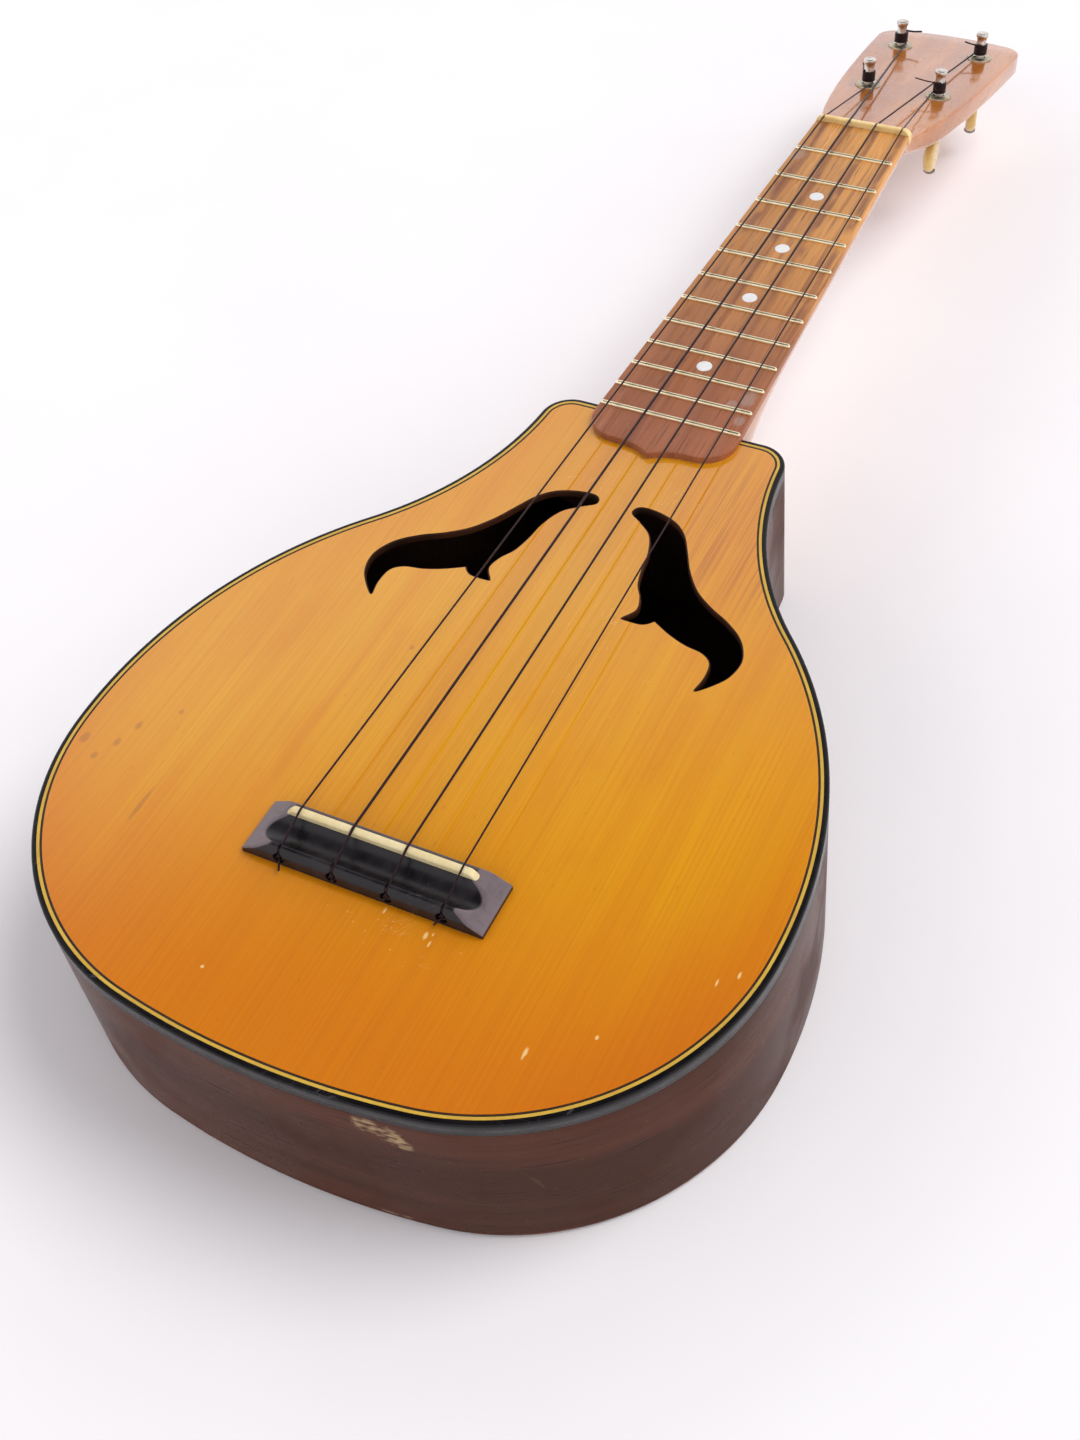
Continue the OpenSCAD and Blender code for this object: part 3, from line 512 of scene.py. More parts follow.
# Stained, pored and polished wood, from a light and a dark tone.
def polishedWood(light, dark, pore, across=900.0, along=16.0, roughness=0.3, wearTone=None, wearShare=0.3,
                 spots=()):
    def build(tree, vector):
        wood = placeGroup(tree, grainGroup, {"Vector": vector, "Across": across, "Along": along})
        wear = placeGroup(tree, wearGroup, {"Vector": vector, "Scale": 70.0})
        colour = tint(tree, spread(tree, wood["Broad"], 0.33, 0.68), light, dark)
        colour = layer(tree, colour, dark, wood["Lines"], 0.5)
        colour = layer(tree, colour, pore, wood["Pores"], 0.7)
        marks = calc(tree, "MULTIPLY", wear["Scratches"], wearShare)
        if wearTone:
            colour = tint(tree, marks, colour, wearTone)
            colour = layer(tree, colour, wearTone, wear["Specks"], wearShare)
        bare = 0.0
        for centre, size, strength in spots:
            mask = spot(tree, vector, centre, size, 1.5)
            fibre = spread(tree, stretched(tree, vector, (800, 260, 500), 4.0), 0.36, 0.58)
            bare = calc(tree, "MULTIPLY", calc(tree, "MULTIPLY", mask, fibre), strength)
            colour = tint(tree, bare, colour, wearTone)
        rough = calc(tree, "ADD", spread(tree, wear["Smudge"], 0.0, 1.0, roughness, roughness + 0.15),
                     calc(tree, "MULTIPLY", bare, 0.35))
        height = calc(tree, "SUBTRACT", calc(tree, "MULTIPLY", stretched(tree, vector, (50, 25, 50)), 1.2),
                      calc(tree, "ADD", calc(tree, "MULTIPLY", wood["Pores"], 0.35), marks))
        return {"Base Color": colour, "Roughness": rough, "Height": height}
    return build


boardLook = {"nutEnd": (0.76, 0.35, 0.085), "bodyEnd": (0.36, 0.115, 0.042), "dark": (0.21, 0.060, 0.020),
             "fingerWearAndShade": (0.21, 0.080, 0.050), "grey": (0.40, 0.30, 0.26), "roughness": 0.4}


# Rosewood worn pale towards the nut, with dark streaks along the grain, a dark lane beside every string that
# is partly finger wear and partly painted string shade, and grey bare places by the treble edge.
def rosewood(tree, vector):
    look = boardLook
    wood = placeGroup(tree, grainGroup, {"Vector": vector, "Across": 1000.0, "Along": 18.0})
    wear = placeGroup(tree, wearGroup, {"Vector": vector, "Scale": 110.0})
    x, y = addNode(tree, "SeparateXYZ", {0: vector}).outputs[:2]
    colour = tint(tree, spread(tree, y, 0.172, 0.29), look["bodyEnd"], look["nutEnd"])
    colour = tint(tree, spread(tree, y, 0.158, 0.175, 0.5, 0.0), colour, (0.42, 0.14, 0.065))
    colour = tint(tree, spread(tree, wood["Broad"], 0.42, 0.66, 0.0, 0.4), colour, look["dark"])
    streak = spread(tree, stretched(tree, vector, (330, 11, 1), 3.0, 0.6), 0.5, 0.64)
    colour = layer(tree, colour, look["dark"], streak, 0.55)
    colour = layer(tree, colour, look["dark"], wood["Lines"], 0.3)
    colour = layer(tree, colour, (0.03, 0.01, 0.006), wood["Pores"], 0.5)
    # Lanes beside each string: partly finger wear, partly painted string shade.
    pitch = calc(tree, "ADD", calc(tree, "MULTIPLY", calc(tree, "SUBTRACT", nutFront, y), 0.0158), 0.0097)
    ragged = calc(tree, "MULTIPLY", stretched(tree, vector, (20, 50, 1), 2.0), 0.12)
    lane = calc(tree, "ADD", calc(tree, "DIVIDE", calc(tree, "SUBTRACT", x, 0.0009), pitch), ragged)
    away = calc(tree, "ABSOLUTE", calc(tree, "SUBTRACT", calc(tree, "FRACT", lane), 0.56))
    patchy = spread(tree, stretched(tree, vector, (60, 45, 1), 3.0), 0.36, 0.56)
    fingerWearAndShade = calc(tree, "MULTIPLY", spread(tree, away, 0.05, 0.17, 1.0, 0.0), patchy)
    colour = layer(tree, colour, look["fingerWearAndShade"], fingerWearAndShade, spread(tree, y, 0.18, 0.28, 0.3, 0.75))
    for centre, size in (((19, 186.5), (3.2, 5)), ((15, 182), (2, 3)), ((20, 176), (2, 3)),
                         ((-15, 318), (3, 6))):
        mask = spot(tree, vector, (*centre, 56.7), (*size, 12), 1.4)
        colour = layer(tree, colour, look["grey"], mask, 0.45)
    colour = layer(tree, colour, look["grey"], wear["Scratches"], 0.3)
    rough = spread(tree, wear["Smudge"], 0.0, 1.0, look["roughness"], look["roughness"] + 0.18)
    height = calc(tree, "SUBTRACT", calc(tree, "MULTIPLY", stretched(tree, vector, (80, 30, 80)), 0.3),
                  calc(tree, "ADD", calc(tree, "MULTIPLY", wood["Pores"], 0.5), wear["Scratches"]))
    return {"Base Color": colour, "Roughness": rough, "Height": height}


# Plain colours with a mottled second tone, fine scratches and rub marks: bone, dots and edging.
def mottled(light, dark, roughness, patch=180.0, share=0.5, scratchTone=None):
    def build(tree, vector):
        wear = placeGroup(tree, wearGroup, {"Vector": vector, "Scale": 90.0})
        cloud = noise(tree, vector, patch, 4.0, 0.6)
        fine = noise(tree, scaled(tree, vector, (1.0, 0.25, 1.0)), patch * 12, 2.0)
        colour = tint(tree, spread(tree, cloud, 0.3, 0.7, 0.0, share), light, dark)
        colour = tint(tree, spread(tree, fine, 0.4, 0.8, 0.0, 0.3), colour, dark)
        colour = layer(tree, colour, scratchTone or dark, wear["Scratches"], 0.45)
        rough = spread(tree, cloud, 0.3, 0.7, roughness, roughness + 0.14)
        height = calc(tree, "ADD", calc(tree, "MULTIPLY", fine, 0.25),
                      calc(tree, "MULTIPLY", wear["Scratches"], -0.5))
        return {"Base Color": colour, "Roughness": rough, "Height": height}
    return build


# Plated metal: bright, with tarnish gathered in clouds that are duller and browner.
def platedMetal(bright, tarnish, roughness, share=0.6, brush=(1.0, 1.0, 1.0)):
    def build(tree, vector):
        wear = placeGroup(tree, wearGroup, {"Vector": vector, "Scale": 260.0})
        cloud = noise(tree, vector, 500.0, 5.0, 0.65)
        lines = noise(tree, scaled(tree, vector, brush), 2600.0, 2.0)
        mask = spread(tree, cloud, 0.42, 0.7, 0.0, share)
        colour = tint(tree, mask, bright, tarnish)
        colour = layer(tree, colour, tarnish, wear["Scratches"], 0.5)
        rough = calc(tree, "ADD", spread(tree, lines, 0.3, 0.7, roughness, roughness + 0.12),
                     calc(tree, "MULTIPLY", mask, 0.22))
        return {"Base Color": colour, "Roughness": rough,
                "Height": calc(tree, "ADD", lines, wear["Scratches"])}
    return build


# Ebonised wood: black, with greyed and rubbed wings at both ends and a little grey along the front lip.
def ebonised(tree, vector):
    wear = placeGroup(tree, wearGroup, {"Vector": vector, "Scale": 240.0})
    x, y, z = addNode(tree, "SeparateXYZ", {0: vector}).outputs
    cloud = stretched(tree, vector, (160, 60, 160), 4.0, 0.6)
    fibre = stretched(tree, vector, (60, 900, 600), 3.0)
    colour = tint(tree, spread(tree, cloud, 0.35, 0.7), (0.005, 0.004, 0.005), (0.018, 0.014, 0.018))
    slope = calc(tree, "MULTIPLY", calc(tree, "SUBTRACT", high("bridge")[0], calc(tree, "ABSOLUTE", x)),
                 0.507)
    below = calc(tree, "SUBTRACT", calc(tree, "ADD", slope, topZ + 0.0016), z)
    wing = spread(tree, below, 0.00025, 0.0007, 1.0, 0.0)
    lip = spread(tree, y, -0.0008, 0.0003, 0.0, 0.5)
    worn = calc(tree, "MAXIMUM", wing,
                calc(tree, "MULTIPLY", lip, spread(tree, z, topZ + 0.004, topZ + 0.0048)))
    worn = calc(tree, "MULTIPLY", worn, spread(tree, cloud, 0.25, 0.55, 0.55, 1.0))
    colour = tint(tree, worn, colour, (0.165, 0.13, 0.142))
    brown = calc(tree, "MULTIPLY", wing, spread(tree, fibre, 0.5, 0.75))
    colour = layer(tree, colour, (0.12, 0.06, 0.035), brown, 0.4)
    colour = layer(tree, colour, (0.22, 0.19, 0.19), wear["Scratches"], 0.35)
    rough = spread(tree, cloud, 0.3, 0.7, 0.24, 0.42)
    height = calc(tree, "SUBTRACT", calc(tree, "MULTIPLY", fibre, 0.3), wear["Scratches"])
    return {"Base Color": colour, "Roughness": rough, "Height": height}


# Gut-coloured string: dark with lengthwise sheen and small pale nicks.
def stringSkin(tree, vector):
    fine = noise(tree, scaled(tree, vector, (1.0, 0.2, 1.0)), 1800.0, 3.0)
    nicks = spread(tree, noise(tree, vector, 900.0, 2.0), 0.66, 0.75)
    colour = tint(tree, fine, (0.008, 0.004, 0.006), (0.035, 0.013, 0.014))
    colour = layer(tree, colour, (0.30, 0.20, 0.18), nicks, 0.3)
    return {"Base Color": colour, "Roughness": spread(tree, fine, 0.3, 0.7, 0.3, 0.48), "Height": fine}


sideSpots = [((46, -29, 0), (4, 4.5, 9), 0.8), ((44, -34, 0), (4.5, 4, 9), 0.8),
             ((41, -37, 0), (3, 2.5, 9), 0.6),
             ((1.8, -29, 0), (1.6, 5, 9), 0.6), ((43, 64, 0), (2, 4, 9), 0.3)]
coatThin = {"Coat Weight": 0.0, "Specular IOR Level": 0.05}
coatThick = {"Coat Weight": 1.0, "Coat Roughness": 0.06, "Coat IOR": 1.52, "Specular IOR Level": 0.4}
finish = {
    "spruce": makeMaterial("spruceTop", spruce, bumpDistance=0.0003, bumpStrength=0.25,
                           **{"Coat Roughness": 0.05, "Coat IOR": 1.6, "Specular IOR Level": 0.1}),
    "holeWall": makeMaterial("holeWall", polishedWood((0.060, 0.018, 0.006), (0.020, 0.007, 0.003),
                                                      (0.01, 0.004, 0.002),
                                                      roughness=0.5), **{"Specular IOR Level": 0.2}),
    "side": makeMaterial("sideMahogany",
                         polishedWood((0.104, 0.034, 0.018), (0.052, 0.016, 0.008), (0.024, 0.007, 0.004),
                                                      across=700.0, along=12.0, roughness=0.26,
                                                      wearTone=(0.42, 0.29, 0.15), wearShare=0.06,
                                                      spots=sideSpots),
                         attribute="place", bumpStrength=0.3, **coatThin),
    "back": makeMaterial("backMahogany",
                         polishedWood((0.125, 0.042, 0.022), (0.058, 0.019, 0.011), (0.02, 0.007, 0.005),
                                                      across=520.0, along=9.0, roughness=0.32,
                                                      wearTone=(0.36, 0.24, 0.15), wearShare=0.3),
                         bumpStrength=0.3, **coatThin),
    "neck": makeMaterial("neckMahogany",
                         polishedWood((0.58, 0.20, 0.028), (0.37, 0.105, 0.013), (0.18, 0.045, 0.007),
                                                      across=800.0, along=14.0, roughness=0.22,
                                                      wearTone=(0.55, 0.30, 0.12), wearShare=0.15),
                         bumpStrength=0.12, **coatThick),
    # Inside of the body: near-black wood, painted shade where little light gets in.
    "inner": makeMaterial("innerWood",
                          polishedWood((0.040, 0.018, 0.010), (0.018, 0.008, 0.005), (0.008, 0.004, 0.003),
                                                    roughness=0.7), **{"Specular IOR Level": 0.1}),
    "rosewood": makeMaterial("rosewoodBoard", rosewood, bumpStrength=0.3,
                             **{"Coat Weight": 0.3, "Coat Roughness": 0.18, "Specular IOR Level": 0.25}),
    "binding": makeMaterial("blackBinding",
                            mottled((0.003, 0.003, 0.004), (0.011, 0.008, 0.008), 0.2, patch=120.0,
                                                    scratchTone=(0.10, 0.09, 0.10)), bumpDistance=0.00003,
                            **{"Specular IOR Level": 0.2}),
    "cream": makeMaterial("creamLine", mottled((0.66, 0.42, 0.055), (0.46, 0.25, 0.022), 0.3, patch=90.0)),
    "dark": makeMaterial("darkLine", mottled((0.020, 0.012, 0.008), (0.060, 0.028, 0.008), 0.34, patch=90.0),
                         **{"Specular IOR Level": 0.3}),
    "dot": makeMaterial("whiteDot",
                        mottled((0.84, 0.84, 0.84), (0.64, 0.60, 0.56), 0.22, patch=420.0, share=0.35)),
    "fret": makeMaterial("fretMetal", platedMetal((1.0, 0.88, 0.60), (0.78, 0.62, 0.36), 0.24, share=0.25,
                                                  brush=(0.05, 1, 1)), Metallic=1.0, bumpDistance=0.000004),
    "bone": makeMaterial("creamBone", mottled((0.92, 0.70, 0.32), (0.62, 0.35, 0.08), 0.26, patch=160.0),
                         bumpDistance=0.00005),
    "saddle": makeMaterial("saddleBone", mottled((0.82, 0.71, 0.42), (0.64, 0.46, 0.18), 0.26, patch=160.0),
                           bumpDistance=0.00005),
    "bridge": makeMaterial("ebonisedBridge", ebonised, bumpStrength=0.3, bumpDistance=0.0001,
                           **{"Specular IOR Level": 0.35}),
    "string": makeMaterial("darkString", stringSkin, bumpDistance=0.00001, **{"Specular IOR Level": 0.2}),
    "nickel": makeMaterial("postNickel", platedMetal((0.70, 0.67, 0.62), (0.32, 0.24, 0.17), 0.16),
                           Metallic=1.0,
                           bumpDistance=0.000003),
    "brass": makeMaterial("collarBrass", platedMetal((0.56, 0.50, 0.36), (0.20, 0.16, 0.09), 0.3),
                          Metallic=1.0,
                          bumpDistance=0.000004),
    "button": makeMaterial("creamButton", mottled((0.78, 0.55, 0.19), (0.50, 0.26, 0.045), 0.2, patch=150.0),
                           bumpDistance=0.00005, **{"Coat Weight": 0.4, "Coat Roughness": 0.1}),
    "steel": makeMaterial("screwSteel", platedMetal((0.30, 0.27, 0.24), (0.06, 0.035, 0.02), 0.35),
                          Metallic=1.0,
                          bumpDistance=0.00001),
}
print("finishes ready:", len(finish))


bodyShape = {"arcs": ((230, 9.7), (73, 76.4), (127, 47.1), (-96, -39.6),
                      (9.5, 86.4)),  # radius, turn in degrees
             "steps": (10, 44, 36, 28, 22), "binding": 1.4, "bindingHeight": 4.5, "cream": 0.8, "dark": 0.6,
             "lineDepth": 1.2, "sideWall": 2.2, "wornEdge": 0.7}


# Tangent arcs from the tail's middle to the shoulder: x grows by r (sin(h + a) - sin(h)) and y by
# r (cos(h) - cos(h + a)), stretched to the back's box. Returns points, outward normals and arc length.
def bodyHalf():
    x, y, h, rows = 0.0, 0.0, 0.0, []
    for (radius, turn), steps in zip(bodyShape["arcs"], bodyShape["steps"]):
        turn = np.radians(turn)
        a = np.linspace(0, turn, steps + 1)
        rows.append(np.stack((x + radius * (np.sin(h + a) - np.sin(h)),
                              y + radius * (np.cos(h) - np.cos(h + a)),
                              h + a), 1)[:-1])
        x = x + radius * (np.sin(h + turn) - np.sin(h))
        y = y + radius * (np.cos(h) - np.cos(h + turn))
        h = h + turn
    rows = np.vstack(rows + [[(x, y, h)]])
    wide = backBox[1][0] / rows[:, 0].max()
    tall = (backBox[1][1] - backBox[0][1]) / y
    points = np.stack((wide * rows[:, 0], backBox[0][1] + tall * rows[:, 1]), 1)
    normals = np.stack((tall * np.sin(rows[:, 2]), -wide * np.cos(rows[:, 2])), 1)
    normals /= np.linalg.norm(normals, axis=1)[:, None]
    steps = np.linalg.norm(np.diff(points, axis=0), axis=1)
    return points, normals, np.concatenate(([0], np.cumsum(steps)))


halfPoints, halfNormals, halfLength = bodyHalf()


# The whole outline, moved outward by so many millimetres.
def bodyLoop(offset):
    right = halfPoints + offset * mm * halfNormals
    return np.vstack((right, (right[::-1] * (-1, 1))[:-1]))


def fullNormals():
    return np.vstack((halfNormals, (halfNormals[::-1] * (-1, 1))[:-1]))


def bodyRing(name, profile, material):
    shape = newShape()
    grid = sweepLoop(bodyLoop(0), fullNormals(), np.array(profile) * mm)
    addGrid(shape, grid, closeRows=True, closeCols=True)
    return makePiece(name + "Ring", shape, [material], "instrument", [name], crease=50)


holeShape = {
    "crown": ((20.3, 79.8), (23, 75.6), (22, 70.9), (19.4, 66.4), (17.9, 60.5), (16.9, 54), (14.2, 47.4),
              (9.6, 43.4),
              (5.9, 40.7), (7.2, 38.1), (12.5, 38.2), (18.6, 40.3), (23, 44.2), (26.4, 50), (30, 56.6),
              (35, 63.1),
              (41, 67.6), (47.4, 71.2), (53, 75.9), (56, 82.2), (55.2, 88.4), (52.4, 92.8), (48.8, 96.6)),
    "tail": ((48.8, 96.6), (49.7, 91.6), (49, 86.2), (45.6, 83.4), (40.2, 82.3), (34.6, 80.2), (29, 77.2)),
    "barb": ((29, 77.2), (26.2, 79.6), (20.3, 79.8)), "wornEdge": 0.45}


# Three curves through listed points, measured from the middle line and down from the shoulder.
def holeLoops():
    curve = np.vstack([smoothCurve(holeShape[part], 6) for part in ("crown", "tail", "barb")]) * mm
    treble = np.stack((curve[:, 0], backBox[1][1] - curve[:, 1]), 1)
    area = (treble[:, 0] * np.roll(treble[:, 1], -1) - treble[:, 1] * np.roll(treble[:, 0], -1)).sum()
    treble = treble if area < 0 else treble[::-1]
    return treble, (treble * (-1, 1))[::-1]


# Gives a carried-over node a better material in each of its slots.
def coverNode(name, material):
    for slot in frame["nodes"][name].material_slots:
        slot.material = material


def makeBody():
    s = bodyShape
    rim = s["binding"] + s["cream"] + s["dark"]
    top, under, bottom = topZ, low("soundboard")[2], topZ / mm - s["bindingHeight"]
    lip = topZ / mm - s["lineDepth"]
    shape = newShape()
    # The top's underside takes the dark hole-wall finish: painted shade inside the body.
    addPlate(shape, [bodyLoop(-rim), *holeLoops()],
             [roundEdge(0.08 * mm, top, under, steps=3)] + [roundEdge(holeShape["wornEdge"] * mm, top,
                                                                      under)] * 2, 1, 1)
    makePiece("spruceTopBoard", shape, [finish["spruce"], finish["holeWall"]], "instrument",
              ["soundboard"])
    shape = newShape()
    foot = roundEdge(0.1 * mm, backBox[1][2], backBox[0][2], foot=1.3 * mm)
    # The back's inner face takes the dark inside finish: painted shade.
    addPlate(shape, [bodyLoop(0)], [foot], topFinish=1)
    makePiece("backBoard", shape, [finish["back"], finish["inner"]], "instrument", ["back"])
    edge = np.radians(np.linspace(0, 90, 6))
    corner = s["wornEdge"]
    rounded = [(-corner * (1 - np.sin(a)), top / mm - corner * (1 - np.cos(a))) for a in edge]
    bodyRing("binding", [(-s["binding"], top / mm), *rounded, (0, bottom + 0.1), (-0.1, bottom),
                         (-s["binding"], bottom)], finish["binding"])
    bodyRing("purfling_cream", [(-s["binding"] - s["cream"], top / mm), (-s["binding"] - 0.02, top / mm),
                                (-s["binding"] - 0.02, lip), (-s["binding"] - s["cream"], lip)],
             finish["cream"])
    bodyRing("purfling_dark", [(-rim, top / mm - 0.03), (-s["binding"] - s["cream"] - 0.02, top / mm - 0.03),
                               (-s["binding"] - s["cream"] - 0.02, lip),
                               (-rim, lip)], finish["dark"])
    makeSide("side_bass", -1, bottom)
    makeSide("side_treble", 1, bottom)
    print("body ready")


# A bent side: a wall profile carried along half the outline; its pattern runs along the bend.
def makeSide(name, way, bottom):
    s = bodyShape
    floor, wall = backBox[1][2] / mm, s["sideWall"]
    heights = np.linspace(floor + 0.02, bottom, 9)
    profile = [(0, z) for z in heights] + [(-s["binding"], bottom),
                                           (-s["binding"], low("soundboard")[2] / mm)]
    profile += [(-wall, low("soundboard")[2] / mm), (-wall, floor)]
    profile = np.array(profile) * mm
    points = np.vstack((halfPoints, [(0.00002, halfPoints[-1, 1])]))
    points[0, 0] = 0.00002
    normals = np.vstack((halfNormals, halfNormals[-1:]))
    length = np.append(halfLength, halfLength[-1] + halfPoints[-1, 0])
    grid = sweepLoop(points, normals, profile) * (way, 1, 1)
    place = np.empty_like(grid)
    place[..., 0] = profile[:, 1, None]
    place[..., 1] = -way * length[None]
    place[..., 2] = profile[:, 0, None]
    shape = newShape()
    index = addGrid(shape, grid, closeRows=True, place=place)
    addFaces(shape, [index[:-1, 0], index[:-1, -1]], True)
    inside = len(profile) - 2
    cols = len(points) - 1
    # Faces on the inside of the wall take the dark inside finish: painted shade.
    shape["finish"] = [1 if n // cols >= inside - 1 and n < cols * len(profile) else 0
                       for n in range(len(shape["faces"]))]
    makePiece("bentSide" + ("Bass" if way < 0 else "Treble"), shape, [finish["side"], finish["inner"]],
              "instrument",
              [name])


makeBody()


neckShape = {"nutWidth": 34.6, "jointWidth": 46, "depth": 11, "jointDepth": 14, "heelLength": 50,
             "heelGap": 5,
             "tilt": 10.5, "headLength": 114.5, "headWidth": 57.4, "headThick": 8.2, "corner": 8, "bow": 2.4,
             "faceEdge": 0.9, "underEdge": 1.7}
tilt = np.radians(neckShape["tilt"])
scaleLength = nutFront / mm
jointY = backBox[1][1] / mm
topMm = topZ / mm


def boardWidth(y):
    n = neckShape
    return n["nutWidth"] + (n["jointWidth"] - n["nutWidth"]) * (scaleLength - y) / (scaleLength / 2)


# The head's outline on one side: a cubic Bezier flare, a corner arc, and the shallow curved end.
def headSide():
    n = neckShape
    flareEnd = n["headLength"] - n["bow"] - n["corner"]
    t = np.linspace(0, 1, 40)[:, None]
    a, b, c, d = (np.array(p, float) for p in ((n["nutWidth"] / 2, 2), (n["nutWidth"] / 2 + 6.4, 26),
                                               (n["headWidth"] / 2 - 1.6, 52),
                                               (n["headWidth"] / 2, flareEnd)))
    flare = a * (1 - t)**3 + 3 * b * t * (1 - t)**2 + 3 * c * t**2 * (1 - t) + d * t**3
    endX = n["headWidth"] / 2 - n["corner"]
    q = np.radians(np.linspace(8, 90, 11))
    turn = np.stack((endX + n["corner"] * np.cos(q), flareEnd + n["corner"] * np.sin(q)), 1)
    k = np.linspace(0.94, 0, 16)
    return np.vstack((flare, turn, np.stack((endX * k, n["headLength"] - n["bow"] * k * k), 1)))


# Neck and head as ribs from the edge to the middle line. Each rib is a quarter ellipse along the neck and a
# round-edged slab on the head, blended between; e is the distance in from the edge and b the depth below.
def makeNeck():
    n = neckShape
    heel = jointY - scaleLength + n["heelLength"] * np.linspace(0, 1, 22)**1.2
    run = np.concatenate((heel, np.linspace(heel[-1] + 4, -14, 22), np.linspace(-12, 1, 9)))
    head = headSide()
    s = np.concatenate((run, head[:, 1]))
    w = np.concatenate((boardWidth(scaleLength + np.minimum(run, 0)) / 2, head[:, 0]))
    spine = np.minimum(s, 92)
    y = scaleLength + s
    depth = n["jointDepth"] + (n["depth"] - n["jointDepth"]) * (y - jointY) / (scaleLength - jointY)
    heelDrop = (topMm - n["heelGap"] - n["jointDepth"]) * np.maximum(0,
                                                                     1 - (y - jointY) / n["heelLength"])**2.8
    thinned = (n["depth"] - n["jointDepth"]) * (scaleLength - 16 - jointY) / (scaleLength - jointY)
    last = n["jointDepth"] + thinned
    t = np.where(s < -16, depth + heelDrop, last + (n["headThick"] - last) * ease((s + 16) / 40))
    k = ease((s + 10) / 34)[:, None]
    lean = tilt * ease((s + 16) / 32)
    rib = np.hypot(w, s - spine)
    q = np.radians(np.linspace(0, 90, 22))
    ellipse = (rib[:, None] * (1 - np.cos(q)), t[:, None] * np.sin(q))
    a, c = np.radians(np.linspace(0, 90, 5)), np.radians(np.linspace(0, 90, 7))
    e = np.concatenate((n["faceEdge"] * (1 - np.sin(a)), n["underEdge"] * (1 - np.cos(c))))
    b = np.concatenate((n["faceEdge"] * (1 - np.cos(a)), n["headThick"] - n["underEdge"] * (1 - np.sin(c))))
    flat = np.linspace(0, 1, 11)[1:]
    e = np.concatenate((np.broadcast_to(e, (len(s), 12)),
                        n["underEdge"] + (np.maximum(rib, 2)[:, None] - n["underEdge"]) * flat), 1)
    b = np.broadcast_to(np.concatenate((b, np.full(10, n["headThick"]))), (len(s), 22))
    e = np.minimum((1 - k) * ellipse[0] + k * e, rib[:, None])
    b = (1 - k) * ellipse[1] + k * b
    face = e[:, :1] + (rib[:, None] - e[:, :1]) * np.array([1, 0.66, 0.33])
    e = np.concatenate((face, e), 1)
    b = np.concatenate((np.zeros((len(s), 3)), b), 1)
    share = e / np.maximum(rib, 1e-6)[:, None]
    x = w[:, None] * (1 - share)
    along = s[:, None] + (spine - s)[:, None] * share
    on = np.maximum(along, 0)
    under = np.minimum(along, 0)
    yy = scaleLength + under + on * np.cos(tilt) - b * np.sin(lean)[:, None]
    zz = topMm - on * np.sin(tilt) - b * np.cos(lean)[:, None]
    half = np.stack((x, yy, zz), 2)
    ring = np.concatenate((half, (half * (-1, 1, 1))[:, ::-1]), 1) * mm
    shape = newShape()
    index = addGrid(shape, ring, closeCols=True)
    addFaces(shape, [index[0, :-1]], True)
    makePiece("neckAndHead", shape, [finish["neck"]], "instrument", ["neck"], crease=30)


boardShape = {"over": 13.5, "tip": 3.4, "corner": 10, "edge": 0.35, "dot": 2.53, "fretCount": 12}


# The board's outline: straight tapering sides, a quarter-round at each end corner, a small drawn-out point.
def boardLoop():
    b = boardShape
    endY = scaleLength / 2 - b["over"]
    endW = boardWidth(endY + b["corner"]) / 2
    a = np.radians(np.linspace(-84, 0, 16))
    flank = endW - b["corner"] * (1 - np.cos(a[0]))
    t = np.linspace(0, 1, 14)[:-1]
    tip = np.stack((flank * t, endY - b["tip"] * (1 - t)**2.9), 1)
    turn = np.stack((endW - b["corner"] + b["corner"] * np.cos(a),
                     endY + b["corner"] + b["corner"] * np.sin(a)), 1)
    side = np.array([(boardWidth(y) / 2, y) for y in np.linspace(endY + 20, scaleLength, 12)])
    right = np.vstack((tip, turn, side))
    return np.vstack((right, (right[::-1] * (-1, 1))[:-1])) * mm


def dotPlaces():
    y = scaleLength * 2 ** (-np.arange(boardShape["fretCount"] + 1) / 12)
    return [(y[n] + y[n - 1]) / 2 * mm for n in (3, 5, 7, 10)]


def circle(x, y, radius, count=48):
    a = np.linspace(0, 2 * np.pi, count, endpoint=False)
    return np.stack((x + radius * np.cos(a), y + radius * np.sin(a)), 1)


def makeBoard():
    top = boardTop
    shape = newShape()
    holes = [circle(0, y, boardShape["dot"] * mm)[::-1] for y in dotPlaces()]
    addPlate(shape, [boardLoop(), *holes], [roundEdge(boardShape["edge"] * mm, top, topZ)]
             + [np.array([(0, top), (0, topZ)])] * len(holes))
    makePiece("rosewoodFingerboard", shape, [finish["rosewood"]], "instrument",
              ["fretboard"])
    shape = newShape()
    for y in dotPlaces():
        addPlate(shape, [circle(0, y, (boardShape["dot"] - 0.05) * mm)],
                 [roundEdge(0.15 * mm, top + 0.00001, top - 0.001, steps=4)])
    makePiece("inlaidDots", shape, [finish["dot"]], "instrument", ["position_dots"])
    for number in range(1, boardShape["fretCount"] + 1):
        makeFret(f"fret_{number:02d}")
    print("neck and fretboard ready")


